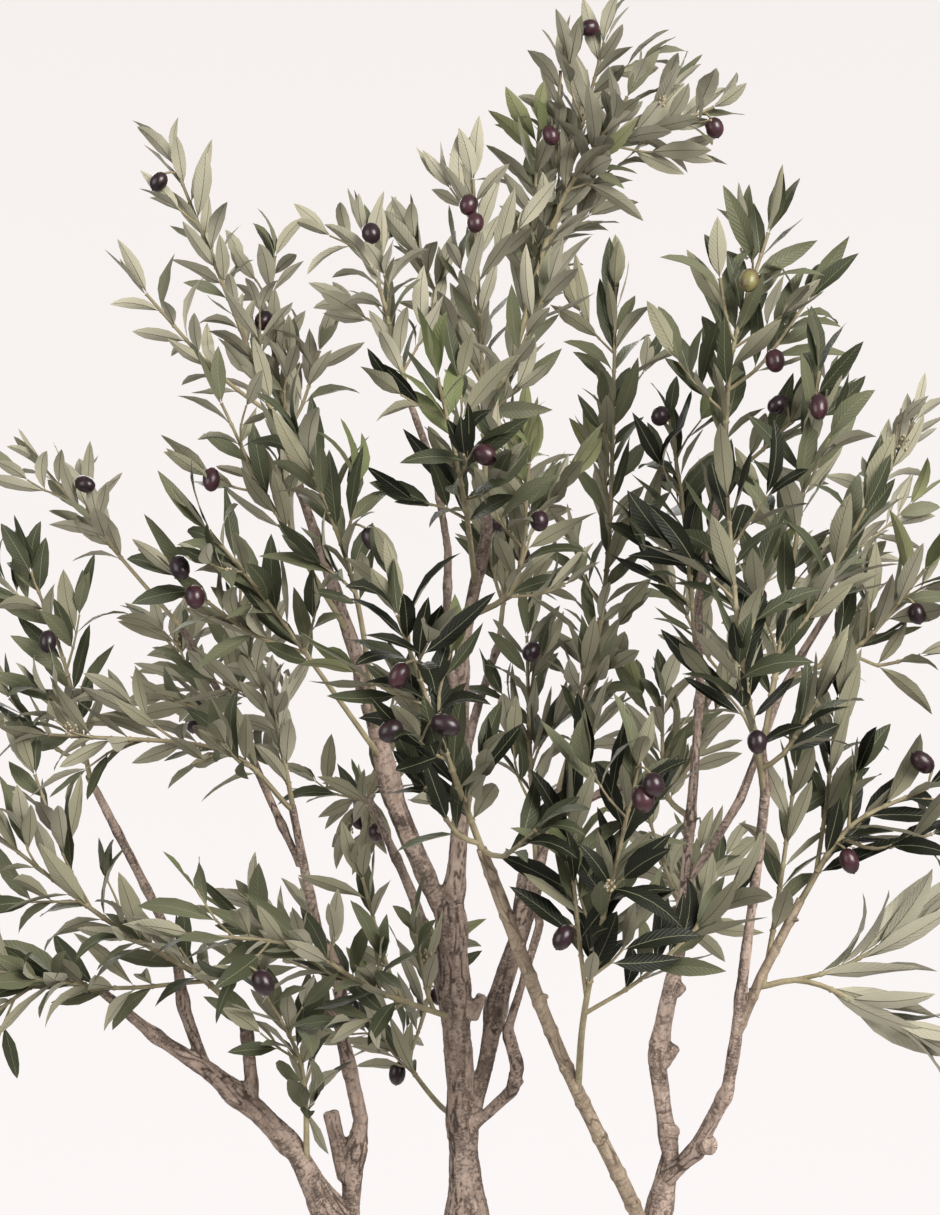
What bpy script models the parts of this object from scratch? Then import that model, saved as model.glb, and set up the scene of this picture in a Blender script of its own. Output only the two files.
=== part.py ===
"""A potted faux olive tree, about two metres tall, for Blender 4.5.

It has a moulded trunk that forks again and again into slender boughs, and sprays of
leathery leaves and ripe olives plugged into them. Every bough and every spray is one
closed solid, seated a hair's breadth from what carries it. The trunk stands on the fill
of a plain round planter. Metres, +Z up, with the origin under the middle of the planter.
"""

import math
import random

import bmesh
import bpy
from mathutils import Vector
from mathutils.bvhtree import BVHTree

# Driving dimensions, in metres.
CLEARANCE = 0.0003

POT_HEIGHT = 0.270
POT_TOP_RADIUS = 0.150
POT_BASE_RADIUS = 0.112
POT_WALL = 0.010
POT_FLOOR = 0.014
POT_RIM_HEIGHT = 0.032
POT_RIM_STEP = 0.005
POT_EDGE = 0.004
POT_STEPS = 24
FILL_LEVEL = 0.246

BEND_SPACING = 0.062
TRUNK_SIDES = 10
BOUGH_SIDES = 6
SWELLING = 0.09

STEM_RADIUS = 0.0034
STEM_TIP_RADIUS = 0.0016
STEM_SHARE_OF_BOUGH = 0.72
STEM_SPACING = 0.090
STEM_INSET = 0.006
TWIG_RADIUS = 0.0021
TWIG_TIP_RADIUS = 0.0012
TWIG_SHARE_OF_STEM = 0.45
TWIG_LENGTH = 0.080
TWIG_BARE = 0.25
TWIG_LEANS = (28, 46)
TWIGS_FROM = 0.12
TWIGS_TO = 0.90
TWIG_LENGTHS = (0.85, 1.10)
TIP_TWIG_SHARE = 0.65
SHOOT_SHARE_OF_STEM = 0.80
SHOOT_SAG = 0.010

LEAF_LENGTH = 0.116
LEAF_WIDTH = 0.0335
LEAF_THICKNESS = 0.0024
LEAF_WIDEST = 0.42
LEAF_DROOP = 0.07
LEAF_ROOT = 0.12
LEAF_SINK = 0.001
LEAF_ROLL = 0.5
TIP_LEAF_ANGLE = 8
TURN_A_TRY = 1.1
LEAF_TRIES = 14
LEAF_ANGLES = (28, 48)
LEAF_LENGTHS = (0.86, 1.08)
LEAF_JITTER = 0.3
LIGHT_SIDE = 0.5
UPWARDS = 0.3

OLIVE_LENGTH = 0.027
OLIVE_WIDTH = 0.020
STALK_RADIUS = 0.0014
STALK_REACH = 0.030
LEAST_STALK = 0.62

PROBE = 0.0009
SPACE_STEP = 0.02
WELD = 0.000001
TURNING_WELD = 0.0001
SHARP_ANGLE = math.radians(40)
GOLDEN_ANGLE = math.radians(137.5)
FOOT = FILL_LEVEL + CLEARANCE

# Each limb is the limb that carries it, then its bends: x, y, z and the radius there.
# The first bend lies inside the carrier, which then cuts the limb's foot to fit.
LIMBS = {
    "trunk": (None, [
        (0, 0, FOOT, 0.047), (0, 0, 0.272, 0.038), (0.002, 0.001, 0.33, 0.0325),
        (0.010, 0.004, 0.46, 0.030), (0.004, 0, 0.60, 0.029), (-0.004, -0.002, 0.70, 0.0285),
        (-0.004, 0, 0.80, 0.0245), (-0.003, 0, 0.89, 0.0195), (-0.006, 0, 0.95, 0.0152),
        (-0.015, 0, 1.10, 0.0145), (-0.020, 0, 1.198, 0.0135)]),
    "leader": ("trunk", [
        (-0.019, 0, 1.185, 0.0095), (-0.008, 0, 1.303, 0.0095), (-0.008, 0.01, 1.453, 0.0076),
        (0.016, 0.04, 1.565, 0.0062), (0.021, 0.06, 1.668, 0.0055), (0.038, 0.08, 1.733, 0.0048),
        (0.050, 0.09, 1.772, 0.0044)]),
    "left_fork": ("trunk", [
        (-0.018, 0, 1.165, 0.0092), (-0.042, 0, 1.223, 0.0092), (-0.076, 0.005, 1.302, 0.0110),
        (-0.101, 0.015, 1.402, 0.0088), (-0.134, 0.03, 1.503, 0.0065), (-0.187, 0.05, 1.652, 0.0042)]),
    "leader_left": ("leader", [
        (-0.008, 0.005, 1.395, 0.0050), (-0.023, -0.004, 1.44, 0.0050),
        (-0.022, -0.010, 1.553, 0.0045), (-0.034, -0.004, 1.63, 0.0042), (-0.060, -0.010, 1.70, 0.0038)]),
    "centre_right": ("trunk", [
        (-0.006, 0, 0.955, 0.0085), (0.015, 0.008, 1.035, 0.0085), (0.028, 0.02, 1.099, 0.0110),
        (0.062, 0.035, 1.198, 0.0095), (0.072, 0.04, 1.238, 0.0066), (0.091, 0.045, 1.31, 0.0050)]),
    "knee_branch": ("trunk", [
        (0, -0.004, 0.975, 0.0050), (0.042, -0.012, 1.016, 0.0065), (0.047, -0.020, 1.042, 0.0070),
        (0.037, -0.020, 1.077, 0.0050), (0.053, -0.015, 1.126, 0.0046), (0.070, 0.004, 1.178, 0.0044),
        (0.064, 0.032, 1.208, 0.0042)]),
    "left_back": ("trunk", [
        (-0.012, 0, 1.085, 0.0080), (-0.038, 0.03, 1.137, 0.0078), (-0.058, 0.08, 1.191, 0.0062),
        (-0.112, 0.22, 1.281, 0.0042)]),
    "left_limb": ("trunk", [
        (-0.004, 0, 0.70, 0.0160), (-0.045, -0.012, 0.765, 0.0165), (-0.095, -0.022, 0.832, 0.0165),
        (-0.145, -0.030, 0.912, 0.0148), (-0.171, -0.035, 0.963, 0.0108), (-0.209, -0.045, 1.005, 0.0112),
        (-0.254, -0.060, 1.048, 0.0082), (-0.294, -0.090, 1.083, 0.0058), (-0.345, -0.125, 1.138, 0.0044)]),
    "left_upper": ("left_limb", [
        (-0.256, -0.062, 1.048, 0.0062), (-0.275, -0.070, 1.108, 0.0062), (-0.284, -0.070, 1.166, 0.0048),
        (-0.352, -0.040, 1.289, 0.0044), (-0.378, -0.020, 1.330, 0.0040)]),
    "second_stem": ("left_limb", [
        (-0.095, -0.020, 0.832, 0.0088), (-0.119, -0.006, 0.885, 0.0088), (-0.118, 0, 0.933, 0.0098),
        (-0.109, 0, 0.983, 0.0078), (-0.128, 0.010, 1.061, 0.0072), (-0.131, 0.010, 1.126, 0.0068),
        (-0.153, 0.015, 1.170, 0.0056), (-0.180, 0.020, 1.296, 0.0042)]),
    "socket_stub": ("left_limb", [
        (-0.215, -0.046, 1.008, 0.0070), (-0.212, -0.050, 1.030, 0.0070), (-0.218, -0.060, 1.101, 0.0056)]),
    "right_limb": ("trunk", [
        (-0.004, 0, 0.68, 0.0170), (0.045, -0.015, 0.725, 0.0175), (0.105, -0.030, 0.785, 0.0172),
        (0.155, -0.042, 0.845, 0.0158), (0.182, -0.050, 0.90, 0.0130), (0.195, -0.055, 0.965, 0.0088),
        (0.182, -0.050, 1.055, 0.0095), (0.205, -0.045, 1.161, 0.0060), (0.212, -0.030, 1.227, 0.0054),
        (0.230, 0, 1.413, 0.0048), (0.226, -0.020, 1.503, 0.0044), (0.247, -0.060, 1.629, 0.0040)]),
    "right_front": ("right_limb", [
        (0.193, -0.056, 0.945, 0.0078), (0.217, -0.080, 0.976, 0.0080), (0.241, -0.120, 1.043, 0.0062),
        (0.251, -0.155, 1.16, 0.0052), (0.266, -0.190, 1.331, 0.0044), (0.261, -0.200, 1.372, 0.0040)]),
    "right_arm": ("right_front", [
        (0.247, -0.140, 1.10, 0.0050), (0.268, -0.150, 1.155, 0.0048), (0.305, -0.150, 1.227, 0.0042)]),
    "far_right": ("right_limb", [
        (0.211, -0.032, 1.222, 0.0044), (0.270, 0, 1.303, 0.0044), (0.313, 0.020, 1.408, 0.0042),
        (0.369, 0.020, 1.503, 0.0038)]),
    "front_stem": ("right_limb", [
        (0.174, -0.048, 0.882, 0.0082), (0.161, -0.075, 0.912, 0.0078), (0.147, -0.090, 0.944, 0.0076),
        (0.083, -0.150, 1.085, 0.0070), (0.028, -0.220, 1.235, 0.0060), (0.010, -0.240, 1.285, 0.0050)]),
    "back_right": ("centre_right", [
        (0.083, 0.043, 1.277, 0.0042), (0.137, 0.10, 1.30, 0.0044), (0.199, 0.16, 1.317, 0.0042),
        (0.278, 0.25, 1.402, 0.0038)]),
    "back_mid": ("leader", [
        (-0.008, 0, 1.33, 0.0060), (0.004, 0.09, 1.378, 0.0054), (0.033, 0.22, 1.459, 0.0042)]),
    "left_branch": ("second_stem", [
        (-0.171, 0.019, 1.235, 0.0040), (-0.204, 0.04, 1.299, 0.0042), (-0.244, 0.07, 1.379, 0.0040),
        (-0.305, 0.10, 1.477, 0.0038)]),
}

# Each mass of foliage is its limb, the share along the limb where its stem starts, the
# stem's bends and tip, side shoots (share along the stem, tip), how far its leaves reach
# from the stem, how much of the stem is bare, how many twigs and leaves it carries, and
# where its olives hang.
MASSES = {
    "foliage_crown_top": ("leader", 1.0, [(0.090, 0.085, 1.90), (0.134, 0.06, 2.062)],
        [(0.35, (0.092, 0.05, 2.030)), (0.10, (0.070, 0.05, 1.975)), (0.50, (0.152, 0.03, 2.000))],
        0.098, 0.06, 4, 36,
        [(0.122, 0.06, 2.09), (0.085, 0.02, 1.97)]),
    "foliage_crown_top_right": ("leader", 0.90, [(0.110, 0.055, 1.94), (0.232, 0.02, 1.994)], [],
        0.080, 0.52, 3, 13, [(0.247, 0.03, 1.98)]),
    "foliage_up_mid": ("leader", 0.68, [(0.010, 0.01, 1.78), (0.004, -0.01, 1.905)],
        [(0.40, (-0.050, 0.01, 1.85)), (0.32, (0.072, -0.03, 1.80))], 0.090, 0.20, 3, 24,
        [(0.0, -0.02, 1.89), (0.005, -0.04, 1.87)]),
    "foliage_up_mid_left": ("leader_left", 1.0, [(-0.082, -0.02, 1.785), (-0.100, -0.02, 1.85)], [],
        0.080, 0.10, 3, 13, [(-0.099, -0.03, 1.86)]),
    "foliage_centre_up_front": ("leader", 0.56, [(-0.006, -0.12, 1.60), (-0.026, -0.17, 1.69)], [],
        0.080, 0.40, 3, 15, [(0.002, -0.17, 1.63)]),
    "foliage_centre_up_right": ("leader", 0.50, [(0.045, -0.02, 1.52), (0.056, -0.05, 1.62)], [],
        0.085, 0.20, 3, 13, [(0.068, -0.08, 1.573)]),
    "foliage_centre_front": ("front_stem", 1.0, [(-0.020, -0.28, 1.37), (-0.055, -0.33, 1.475)],
        [(0.05, (-0.030, -0.275, 1.33)), (0.02, (0.046, -0.270, 1.296))], 0.095, 0.08, 4, 25,
        [(-0.058, -0.34, 1.44), (-0.018, -0.33, 1.40), (-0.074, -0.34, 1.398)]),
    "foliage_centre_left_front": ("left_fork", 0.42, [(-0.110, -0.12, 1.52), (-0.150, -0.17, 1.635)], [],
        0.072, 0.46, 2, 9, [(-0.088, -0.16, 1.557)]),
    "foliage_up_left": ("left_fork", 1.0, [(-0.235, 0.05, 1.78), (-0.297, 0.05, 1.935)],
        [(0.15, (-0.313, 0, 1.797))], 0.082, 0.14, 2, 17, [(-0.318, 0.05, 1.93)]),
    "foliage_up_left_inner": ("left_fork", 0.90, [(-0.208, 0.09, 1.78), (-0.206, 0.10, 1.85)],
        [(0.30, (-0.160, 0.06, 1.745))], 0.078, 0.25, 2, 13, [(-0.212, 0.08, 1.79)]),
    "foliage_left_mid": ("left_fork", 0.36, [(-0.180, -0.10, 1.485), (-0.232, -0.14, 1.555)],
        [(0.50, (-0.262, -0.13, 1.515))],
        0.086, 0.42, 2, 16, [(-0.264, -0.16, 1.532), (-0.252, -0.15, 1.505)]),
    "foliage_left_up": ("left_fork", 0.62, [(-0.200, -0.03, 1.605), (-0.235, -0.05, 1.68)], [],
        0.085, 0.35, 2, 10, [(-0.250, -0.05, 1.62)]),
    "foliage_far_left_high": ("left_branch", 1.0, [(-0.365, 0.10, 1.545), (-0.436, 0.10, 1.628)], [],
        0.080, 0.38, 2, 12, [(-0.400, 0.09, 1.625)]),
    "foliage_mid_left": ("second_stem", 0.90, [(-0.195, 0.04, 1.36), (-0.225, 0.08, 1.43)], [],
        0.090, 0.25, 3, 14, []),
    "foliage_left_arm": ("second_stem", 1.0, [(-0.245, -0.03, 1.355), (-0.380, -0.12, 1.375)], [],
        0.078, 0.15, 3, 15, []),
    "foliage_far_left_front": ("left_upper", 1.0, [(-0.393, -0.05, 1.435), (-0.415, -0.08, 1.515)],
        [(0.08, (-0.440, -0.04, 1.395))], 0.082, 0.12, 2, 15,
        [(-0.400, -0.10, 1.459), (-0.436, -0.05, 1.365)]),
    "foliage_left_low": ("socket_stub", 1.0,
        [(-0.255, -0.10, 1.145), (-0.335, -0.14, 1.205), (-0.422, -0.15, 1.275)],
        [(0.22, (-0.422, -0.18, 1.165)), (0.65, (-0.400, -0.13, 1.325))], 0.068, 0.14, 3, 26, []),
    "foliage_left_low_fan": ("left_limb", 1.0, [(-0.385, -0.155, 1.155), (-0.420, -0.18, 1.135)], [],
        0.085, 0.05, 2, 13, []),
    "foliage_low_front": ("trunk", 0.88,
        [(-0.095, -0.10, 1.135), (-0.157, -0.16, 1.185), (-0.235, -0.22, 1.205)],
        [(0.25, (-0.098, -0.10, 1.225)), (0.10, (-0.050, -0.06, 1.165))],
        0.080, 0.18, 4, 26, [(-0.172, -0.24, 1.165)]),
    "foliage_low_left": ("left_limb", 0.50, [(-0.162, -0.075, 1.055), (-0.190, -0.11, 1.125)], [],
        0.084, 0.24, 3, 16, []),
    "foliage_inner_low": ("second_stem", 0.60, [(-0.165, 0.05, 1.135), (-0.205, 0.09, 1.165)], [],
        0.080, 0.10, 3, 14, [(-0.095, 0.05, 1.05)]),
    "foliage_back_left": ("left_back", 1.0, [(-0.135, 0.30, 1.275), (-0.130, 0.36, 1.255)],
        [(0.12, (-0.085, 0.175, 1.390))], 0.105, 0.05, 3, 18, []),
    "foliage_back_low": ("trunk", 0.78, [(-0.040, 0.12, 0.975), (-0.135, 0.28, 1.06)],
        [(0.55, (-0.035, 0.235, 1.110))], 0.105, 0.45, 3, 15, []),
    "foliage_back_far_left": ("left_branch", 0.45, [(-0.290, 0.20, 1.395), (-0.350, 0.29, 1.46)],
        [(0.25, (-0.255, 0.205, 1.500))], 0.100, 0.25, 3, 15, []),
    "foliage_back_high": ("back_mid", 1.0, [(0.045, 0.28, 1.56), (0.060, 0.30, 1.68)],
        [(0.20, (0.015, 0.190, 1.590))], 0.105, 0.15, 3, 17, [(0.10, 0.32, 1.62)]),
    "foliage_back_right": ("back_right", 1.0, [(0.325, 0.31, 1.46), (0.350, 0.34, 1.54)],
        [(0.15, (0.235, 0.215, 1.500))], 0.105, 0.10, 3, 16, []),
    "foliage_back_far_right": ("right_limb", 0.56, [(0.235, 0.12, 1.15), (0.262, 0.28, 1.21)],
        [(0.50, (0.190, 0.215, 1.290))], 0.105, 0.40, 3, 14, []),
    "foliage_centre_mid": ("centre_right", 0.76, [(0.062, 0.060, 1.34), (0.060, 0.09, 1.45)], [],
        0.078, 0.20, 3, 14, [(0.055, 0.02, 1.455)]),
    "foliage_centre_tall": ("centre_right", 1.0,
        [(0.122, 0.045, 1.42), (0.143, 0.06, 1.56), (0.150, 0.06, 1.81)],
        [(0.10, (0.112, 0.00, 1.42)), (0.02, (0.118, -0.02, 1.362))], 0.076, 0.05, 5, 34, []),
    "foliage_front_right": ("front_stem", 0.42, [(0.105, -0.21, 1.155), (0.140, -0.28, 1.345)],
        [(0.30, (0.220, -0.19, 1.224)), (0.35, (0.086, -0.26, 1.298))], 0.088, 0.36, 3, 26,
        [(0.145, -0.30, 1.335), (0.155, -0.31, 1.345), (0.085, -0.24, 1.21)]),
    "foliage_inner_right": ("right_limb", 0.66, [(0.200, 0.05, 1.31), (0.200, 0.07, 1.388)],
        [(0.40, (0.245, 0.05, 1.375))], 0.078, 0.25, 2, 15, []),
    "foliage_right_shoulder": ("right_limb", 0.78, [(0.216, 0.01, 1.58), (0.203, 0.01, 1.668)], [],
        0.085, 0.25, 3, 16, [(0.192, 0, 1.685)]),
    "foliage_right_top": ("right_limb", 1.0, [(0.250, -0.09, 1.74), (0.278, -0.10, 1.835)],
        [(0.35, (0.312, -0.09, 1.775)), (0.05, (0.292, -0.10, 1.66)), (0.55, (0.238, -0.11, 1.79))],
        0.082, 0.08, 2, 26,
        [(0.260, -0.12, 1.80), (0.290, -0.14, 1.72), (0.268, -0.14, 1.70)]),
    "foliage_right_front_up": ("right_front", 1.0, [(0.290, -0.18, 1.52), (0.316, -0.17, 1.695)],
        [(0.25, (0.346, -0.20, 1.570))], 0.084, 0.10, 3, 25, [(0.312, -0.19, 1.675)]),
    "foliage_right_front_low": ("right_front", 0.90, [(0.235, -0.25, 1.46), (0.225, -0.25, 1.575)],
        [(0.10, (0.296, -0.23, 1.40))], 0.100, 0.12, 3, 25, [(0.248, -0.26, 1.37)]),
    "foliage_far_right_high": ("far_right", 1.0, [(0.415, 0.06, 1.60), (0.456, 0.08, 1.675)], [],
        0.070, 0.15, 2, 10, []),
    "foliage_far_right": ("far_right", 0.72, [(0.385, -0.03, 1.46), (0.430, -0.06, 1.52)],
        [(0.40, (0.425, -0.04, 1.445)), (0.20, (0.376, -0.01, 1.505))],
        0.086, 0.10, 2, 20, [(0.43, -0.06, 1.49)]),
    "foliage_far_right_low": ("right_arm", 1.0, [(0.345, -0.17, 1.295), (0.400, -0.18, 1.325)],
        [(0.2, (0.345, -0.11, 1.395)), (0.45, (0.405, -0.17, 1.285))], 0.085, 0.12, 2, 22,
        [(0.340, -0.17, 1.27), (0.402, -0.16, 1.385)]),
    "foliage_low_right_hang": ("right_arm", 0.35, [(0.316, -0.15, 1.150), (0.390, -0.16, 1.114)],
        [(0.12, (0.402, -0.14, 1.196)), (0.04, (0.298, -0.15, 1.33))], 0.090, 0.34, 0, 16, []),
}


def collection(name):
    made = bpy.data.collections.new(name)
    bpy.context.scene.collection.children.link(made)
    return made


def material(name, colour, roughness):
    made = bpy.data.materials.new(name)
    made.use_nodes = True
    shader = made.node_tree.nodes["Principled BSDF"]
    shader.inputs["Base Color"].default_value = (*colour, 1)
    shader.inputs["Roughness"].default_value = roughness
    shader.inputs["Metallic"].default_value = 0
    return made


def evaluated_mesh(obj):
    bpy.context.view_layer.update()
    graph = bpy.context.evaluated_depsgraph_get()
    return bpy.data.meshes.new_from_object(obj.evaluated_get(graph))


def remove(obj):
    bpy.data.objects.remove(obj, do_unlink=True)


def tree_of(mesh):
    """The mesh's faces as a search tree, for finding what touches it."""
    mesh.calc_loop_triangles()
    corners = [vertex.co.copy() for vertex in mesh.vertices]
    return BVHTree.FromPolygons(corners, [tuple(face.vertices) for face in mesh.loop_triangles])


def smooth(bends, spacing):
    """Points about a spacing apart along the smooth curve through the bends."""
    ends = [2 * bends[0] - bends[1], *bends, 2 * bends[-1] - bends[-2]]
    points = []
    for before, start, end, after in zip(ends, ends[1:], ends[2:], ends[3:]):
        steps = max(1, round((end - start).length / spacing))
        for step in range(steps):
            t = step / steps
            straight = 2 * start + (end - before) * t
            square = (2 * before - 5 * start + 4 * end - after) * t**2
            cube = (3 * start - before - 3 * end + after) * t**3
            points.append((straight + square + cube) / 2)
    points.append(bends[-1].copy())
    return points


def tapered(bends, first_radius, last_radius, spacing):
    """A smooth path whose radius falls evenly from its first bend to its last."""
    lengths = [0.0]
    for start, end in zip(bends, bends[1:]):
        lengths.append(lengths[-1] + (end - start).length)
    fall = last_radius - first_radius
    radii = [first_radius + fall * length / lengths[-1] for length in lengths]
    return smooth([Vector((*bend, radius)) for bend, radius in zip(bends, radii)], spacing)


def place_at(path, share):
    """The point at a share of the path's length, its radius and the path's direction there."""
    steps = [(end.xyz - start.xyz).length for start, end in zip(path, path[1:])]
    left = share * sum(steps)
    for start, end, step in zip(path, path[1:], steps):
        if left <= step:
            break
        left -= step
    else:
        left = step
    here = start.lerp(end, min(1, left / step))
    return here.xyz, here.w, (end.xyz - start.xyz).normalized()


def length_of(path):
    return sum((end.xyz - start.xyz).length for start, end in zip(path, path[1:]))


def across(direction, turn):
    """A unit vector square to the direction, turned about it."""
    first = direction.orthogonal().normalized()
    second = direction.cross(first)
    return first * math.cos(turn) + second * math.sin(turn)


def triangle_profile():
    """The closed three-cornered outline that twigs are swept with."""
    curve = bpy.data.curves.new("twig section", "CURVE")
    curve.dimensions = "2D"
    spline = curve.splines.new("POLY")
    spline.points.add(2)
    spline.use_cyclic_u = True
    for corner, point in enumerate(spline.points):
        angle = math.tau * corner / 3
        point.co = (math.cos(angle), math.sin(angle), 0, 1)
    profile = bpy.data.objects.new("twig section", curve)
    profile.hide_render = True
    profile.display_type = "WIRE"
    return profile


def tube(name, path, sides, home):
    """A closed mesh tube along a path of x, y, z and radius."""
    curve = bpy.data.curves.new(name, "CURVE")
    curve.dimensions = "3D"
    curve.use_fill_caps = True
    if sides == 3:
        curve.bevel_mode = "OBJECT"
        curve.bevel_object = TWIG_SECTION
    else:
        curve.bevel_depth = 1
        curve.bevel_resolution = sides // 2 - 2
    spline = curve.splines.new("POLY")
    spline.points.add(len(path) - 1)
    for point, bend in zip(spline.points, path):
        point.co = (*bend.xyz, 1)
        point.radius = bend.w
    swept = bpy.data.objects.new(name, curve)
    home.objects.link(swept)
    mesh = evaluated_mesh(swept)
    remove(swept)
    bpy.data.curves.remove(curve)
    bm = bmesh.new()
    bm.from_mesh(mesh)
    bmesh.ops.remove_doubles(bm, verts=bm.verts, dist=WELD)
    bmesh.ops.recalc_face_normals(bm, faces=bm.faces)
    bm.to_mesh(mesh)
    bm.free()
    made = bpy.data.objects.new(name, mesh)
    home.objects.link(made)
    return made


def widened(path, extra):
    """The same path, thicker all round and longer at both ends by the extra."""
    wide = [bend + Vector((0, 0, 0, extra)) for bend in path]
    start = (path[0].xyz - path[1].xyz).normalized() * extra
    end = (path[-1].xyz - path[-2].xyz).normalized() * extra
    wide[0] = wide[0] + Vector((*start, 0))
    wide[-1] = wide[-1] + Vector((*end, 0))
    return wide


def combine(obj, others, operation):
    """Cuts or joins a whole collection with one Boolean, applies it and empties the collection."""
    modifier = obj.modifiers.new(operation.lower(), "BOOLEAN")
    modifier.operation = operation
    modifier.solver = "MANIFOLD"
    modifier.operand_type = "COLLECTION"
    modifier.collection = others
    mesh = evaluated_mesh(obj)
    obj.modifiers.clear()
    obj.data = mesh
    for other in list(others.objects):
        remove(other)


def keep_largest(obj):
    """Drops loose scraps, and the walls of any hollow that joining has sealed."""
    bm = bmesh.new()
    bm.from_mesh(obj.data)
    islands = []
    seen = set()
    for vert in bm.verts:
        if vert in seen:
            continue
        island = [vert]
        seen.add(vert)
        for found in island:
            for edge in found.link_edges:
                other = edge.other_vert(found)
                if other not in seen:
                    seen.add(other)
                    island.append(other)
        islands.append(island)
    islands.sort(key=len)
    for island in islands[:-1]:
        bmesh.ops.delete(bm, geom=island, context="VERTS")
    bm.to_mesh(obj.data)
    bm.free()


def finish(obj, made_of, parts):
    """Puts a finished solid among the parts, shaded smooth except at its corners."""
    for home in list(obj.users_collection):
        home.objects.unlink(obj)
    parts.objects.link(obj)
    obj.data.materials.clear()
    obj.data.materials.append(made_of)
    obj.data.shade_smooth()
    obj.data.set_sharp_from_angle(angle=SHARP_ANGLE)


def turned(name, profile, parts, made_of):
    """A solid of revolution from a profile of radius and height, listed top to bottom outside."""
    mesh = bpy.data.meshes.new(name)
    edges = [(corner, corner + 1) for corner in range(len(profile) - 1)]
    mesh.from_pydata([(radius, 0, height) for radius, height in profile], edges, [])
    obj = bpy.data.objects.new(name, mesh)
    parts.objects.link(obj)
    screw = obj.modifiers.new("turn", "SCREW")
    screw.axis = "Z"
    screw.steps = POT_STEPS
    screw.render_steps = POT_STEPS
    screw.use_merge_vertices = True
    screw.merge_threshold = TURNING_WELD
    obj.data = evaluated_mesh(obj)
    obj.modifiers.clear()
    finish(obj, made_of, parts)


def inner_radius(height):
    """The planter's inside radius at a height."""
    share = height / POT_HEIGHT
    return POT_BASE_RADIUS + (POT_TOP_RADIUS - POT_BASE_RADIUS) * share - POT_WALL


def planter(parts, glaze, filler):
    """A plain tapered planter with a banded rim, and the fill that holds the trunk's foot."""
    rim_foot = POT_HEIGHT - POT_RIM_HEIGHT
    rim_radius = POT_TOP_RADIUS + POT_RIM_STEP
    side_radius = inner_radius(rim_foot) + POT_WALL
    turned("planter", [
        (0, POT_FLOOR),
        (inner_radius(POT_FLOOR), POT_FLOOR),
        (inner_radius(POT_HEIGHT - POT_EDGE), POT_HEIGHT - POT_EDGE),
        (inner_radius(POT_HEIGHT) + POT_EDGE, POT_HEIGHT),
        (rim_radius - POT_EDGE, POT_HEIGHT),
        (rim_radius, POT_HEIGHT - POT_EDGE),
        (rim_radius, rim_foot + POT_EDGE),
        (side_radius, rim_foot),
        (POT_BASE_RADIUS, POT_EDGE),
        (POT_BASE_RADIUS - POT_EDGE, 0),
        (0, 0)], parts, glaze)
    fill_foot = POT_FLOOR + CLEARANCE
    turned("fill", [
        (0, FILL_LEVEL),
        (inner_radius(FILL_LEVEL) - CLEARANCE, FILL_LEVEL),
        (inner_radius(fill_foot) - CLEARANCE, fill_foot),
        (0, fill_foot)], parts, filler)


def grow_limbs(parts, cutters, bark):
    """Every limb, each cut clear of the limbs before it. Returns their paths and search trees."""
    paths = {}
    solids = {}
    for name, (carrier, bends) in LIMBS.items():
        chance = random.Random(name)
        sides = BOUGH_SIDES if carrier else TRUNK_SIDES
        path = smooth([Vector(bend) for bend in bends], BEND_SPACING)
        for bend in path[1:-1]:
            bend.w *= 1 + chance.uniform(-SWELLING, SWELLING)
        limb = tube(name, path, sides, parts)
        reach = tree_of(limb.data)
        touching = [other for other, solid in solids.items() if solid.overlap(reach)]
        for other in touching:
            other_sides = BOUGH_SIDES if LIMBS[other][0] else TRUNK_SIDES
            tube(other + " cutter", widened(paths[other], CLEARANCE), other_sides, cutters)
        if touching:
            combine(limb, cutters, "DIFFERENCE")
            keep_largest(limb)
        finish(limb, bark, parts)
        paths[name] = path
        solids[name] = tree_of(limb.data)
    return paths, solids


def blade(root, along, face, length, extra=0.0):
    """A leaf's corners and faces: pointed at both ends, nearly flat above and keeled below."""
    half_width = along.cross(face) * (LEAF_WIDTH / 2 + extra)
    middle = root + along * length * LEAF_WIDEST
    corners = [
        root,
        middle - half_width + face * extra,
        middle + half_width + face * extra,
        middle - face * (LEAF_THICKNESS + extra),
        root + along * (length + extra) - face * length * LEAF_DROOP]
    faces = []
    for corner, after in (1, 2), (2, 3), (3, 1):
        faces.append((0, corner, after))
        faces.append((4, after, corner))
    return corners, faces


def leaf(corners, faces, home):
    mesh = bpy.data.meshes.new("leaf")
    mesh.from_pydata(corners, [], faces)
    bm = bmesh.new()
    bm.from_mesh(mesh)
    bmesh.ops.recalc_face_normals(bm, faces=bm.faces)
    bm.to_mesh(mesh)
    bm.free()
    home.objects.link(bpy.data.objects.new("leaf", mesh))


def olive(centre, root, home):
    """A ripe olive on the stalk that it hangs by."""
    hang = (centre - root).normalized()
    stalk = [Vector((*root, STALK_RADIUS)), Vector((*centre, STALK_RADIUS))]
    tube("stalk", stalk, 3, home)
    bm = bmesh.new()
    bmesh.ops.create_icosphere(bm, subdivisions=1, radius=0.5)
    for vert in bm.verts:
        vert.co = Vector((vert.co.x * OLIVE_WIDTH, vert.co.y * OLIVE_WIDTH, vert.co.z * OLIVE_LENGTH))
    turn = Vector((0, 0, 1)).rotation_difference(hang)
    bmesh.ops.rotate(bm, verts=bm.verts, cent=(0, 0, 0), matrix=turn.to_matrix())
    bmesh.ops.translate(bm, verts=bm.verts, vec=centre)
    mesh = bpy.data.meshes.new("olive")
    bm.to_mesh(mesh)
    bm.free()
    home.objects.link(bpy.data.objects.new("olive", mesh))


def clear_of(shape, others):
    return not any(shape.overlap(other) for other in others)


def near(point, paths, reach):
    """Whether a point lies within reach of any of the paths."""
    return any((point - bend.xyz).length < reach for path in paths for bend in path)


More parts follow.
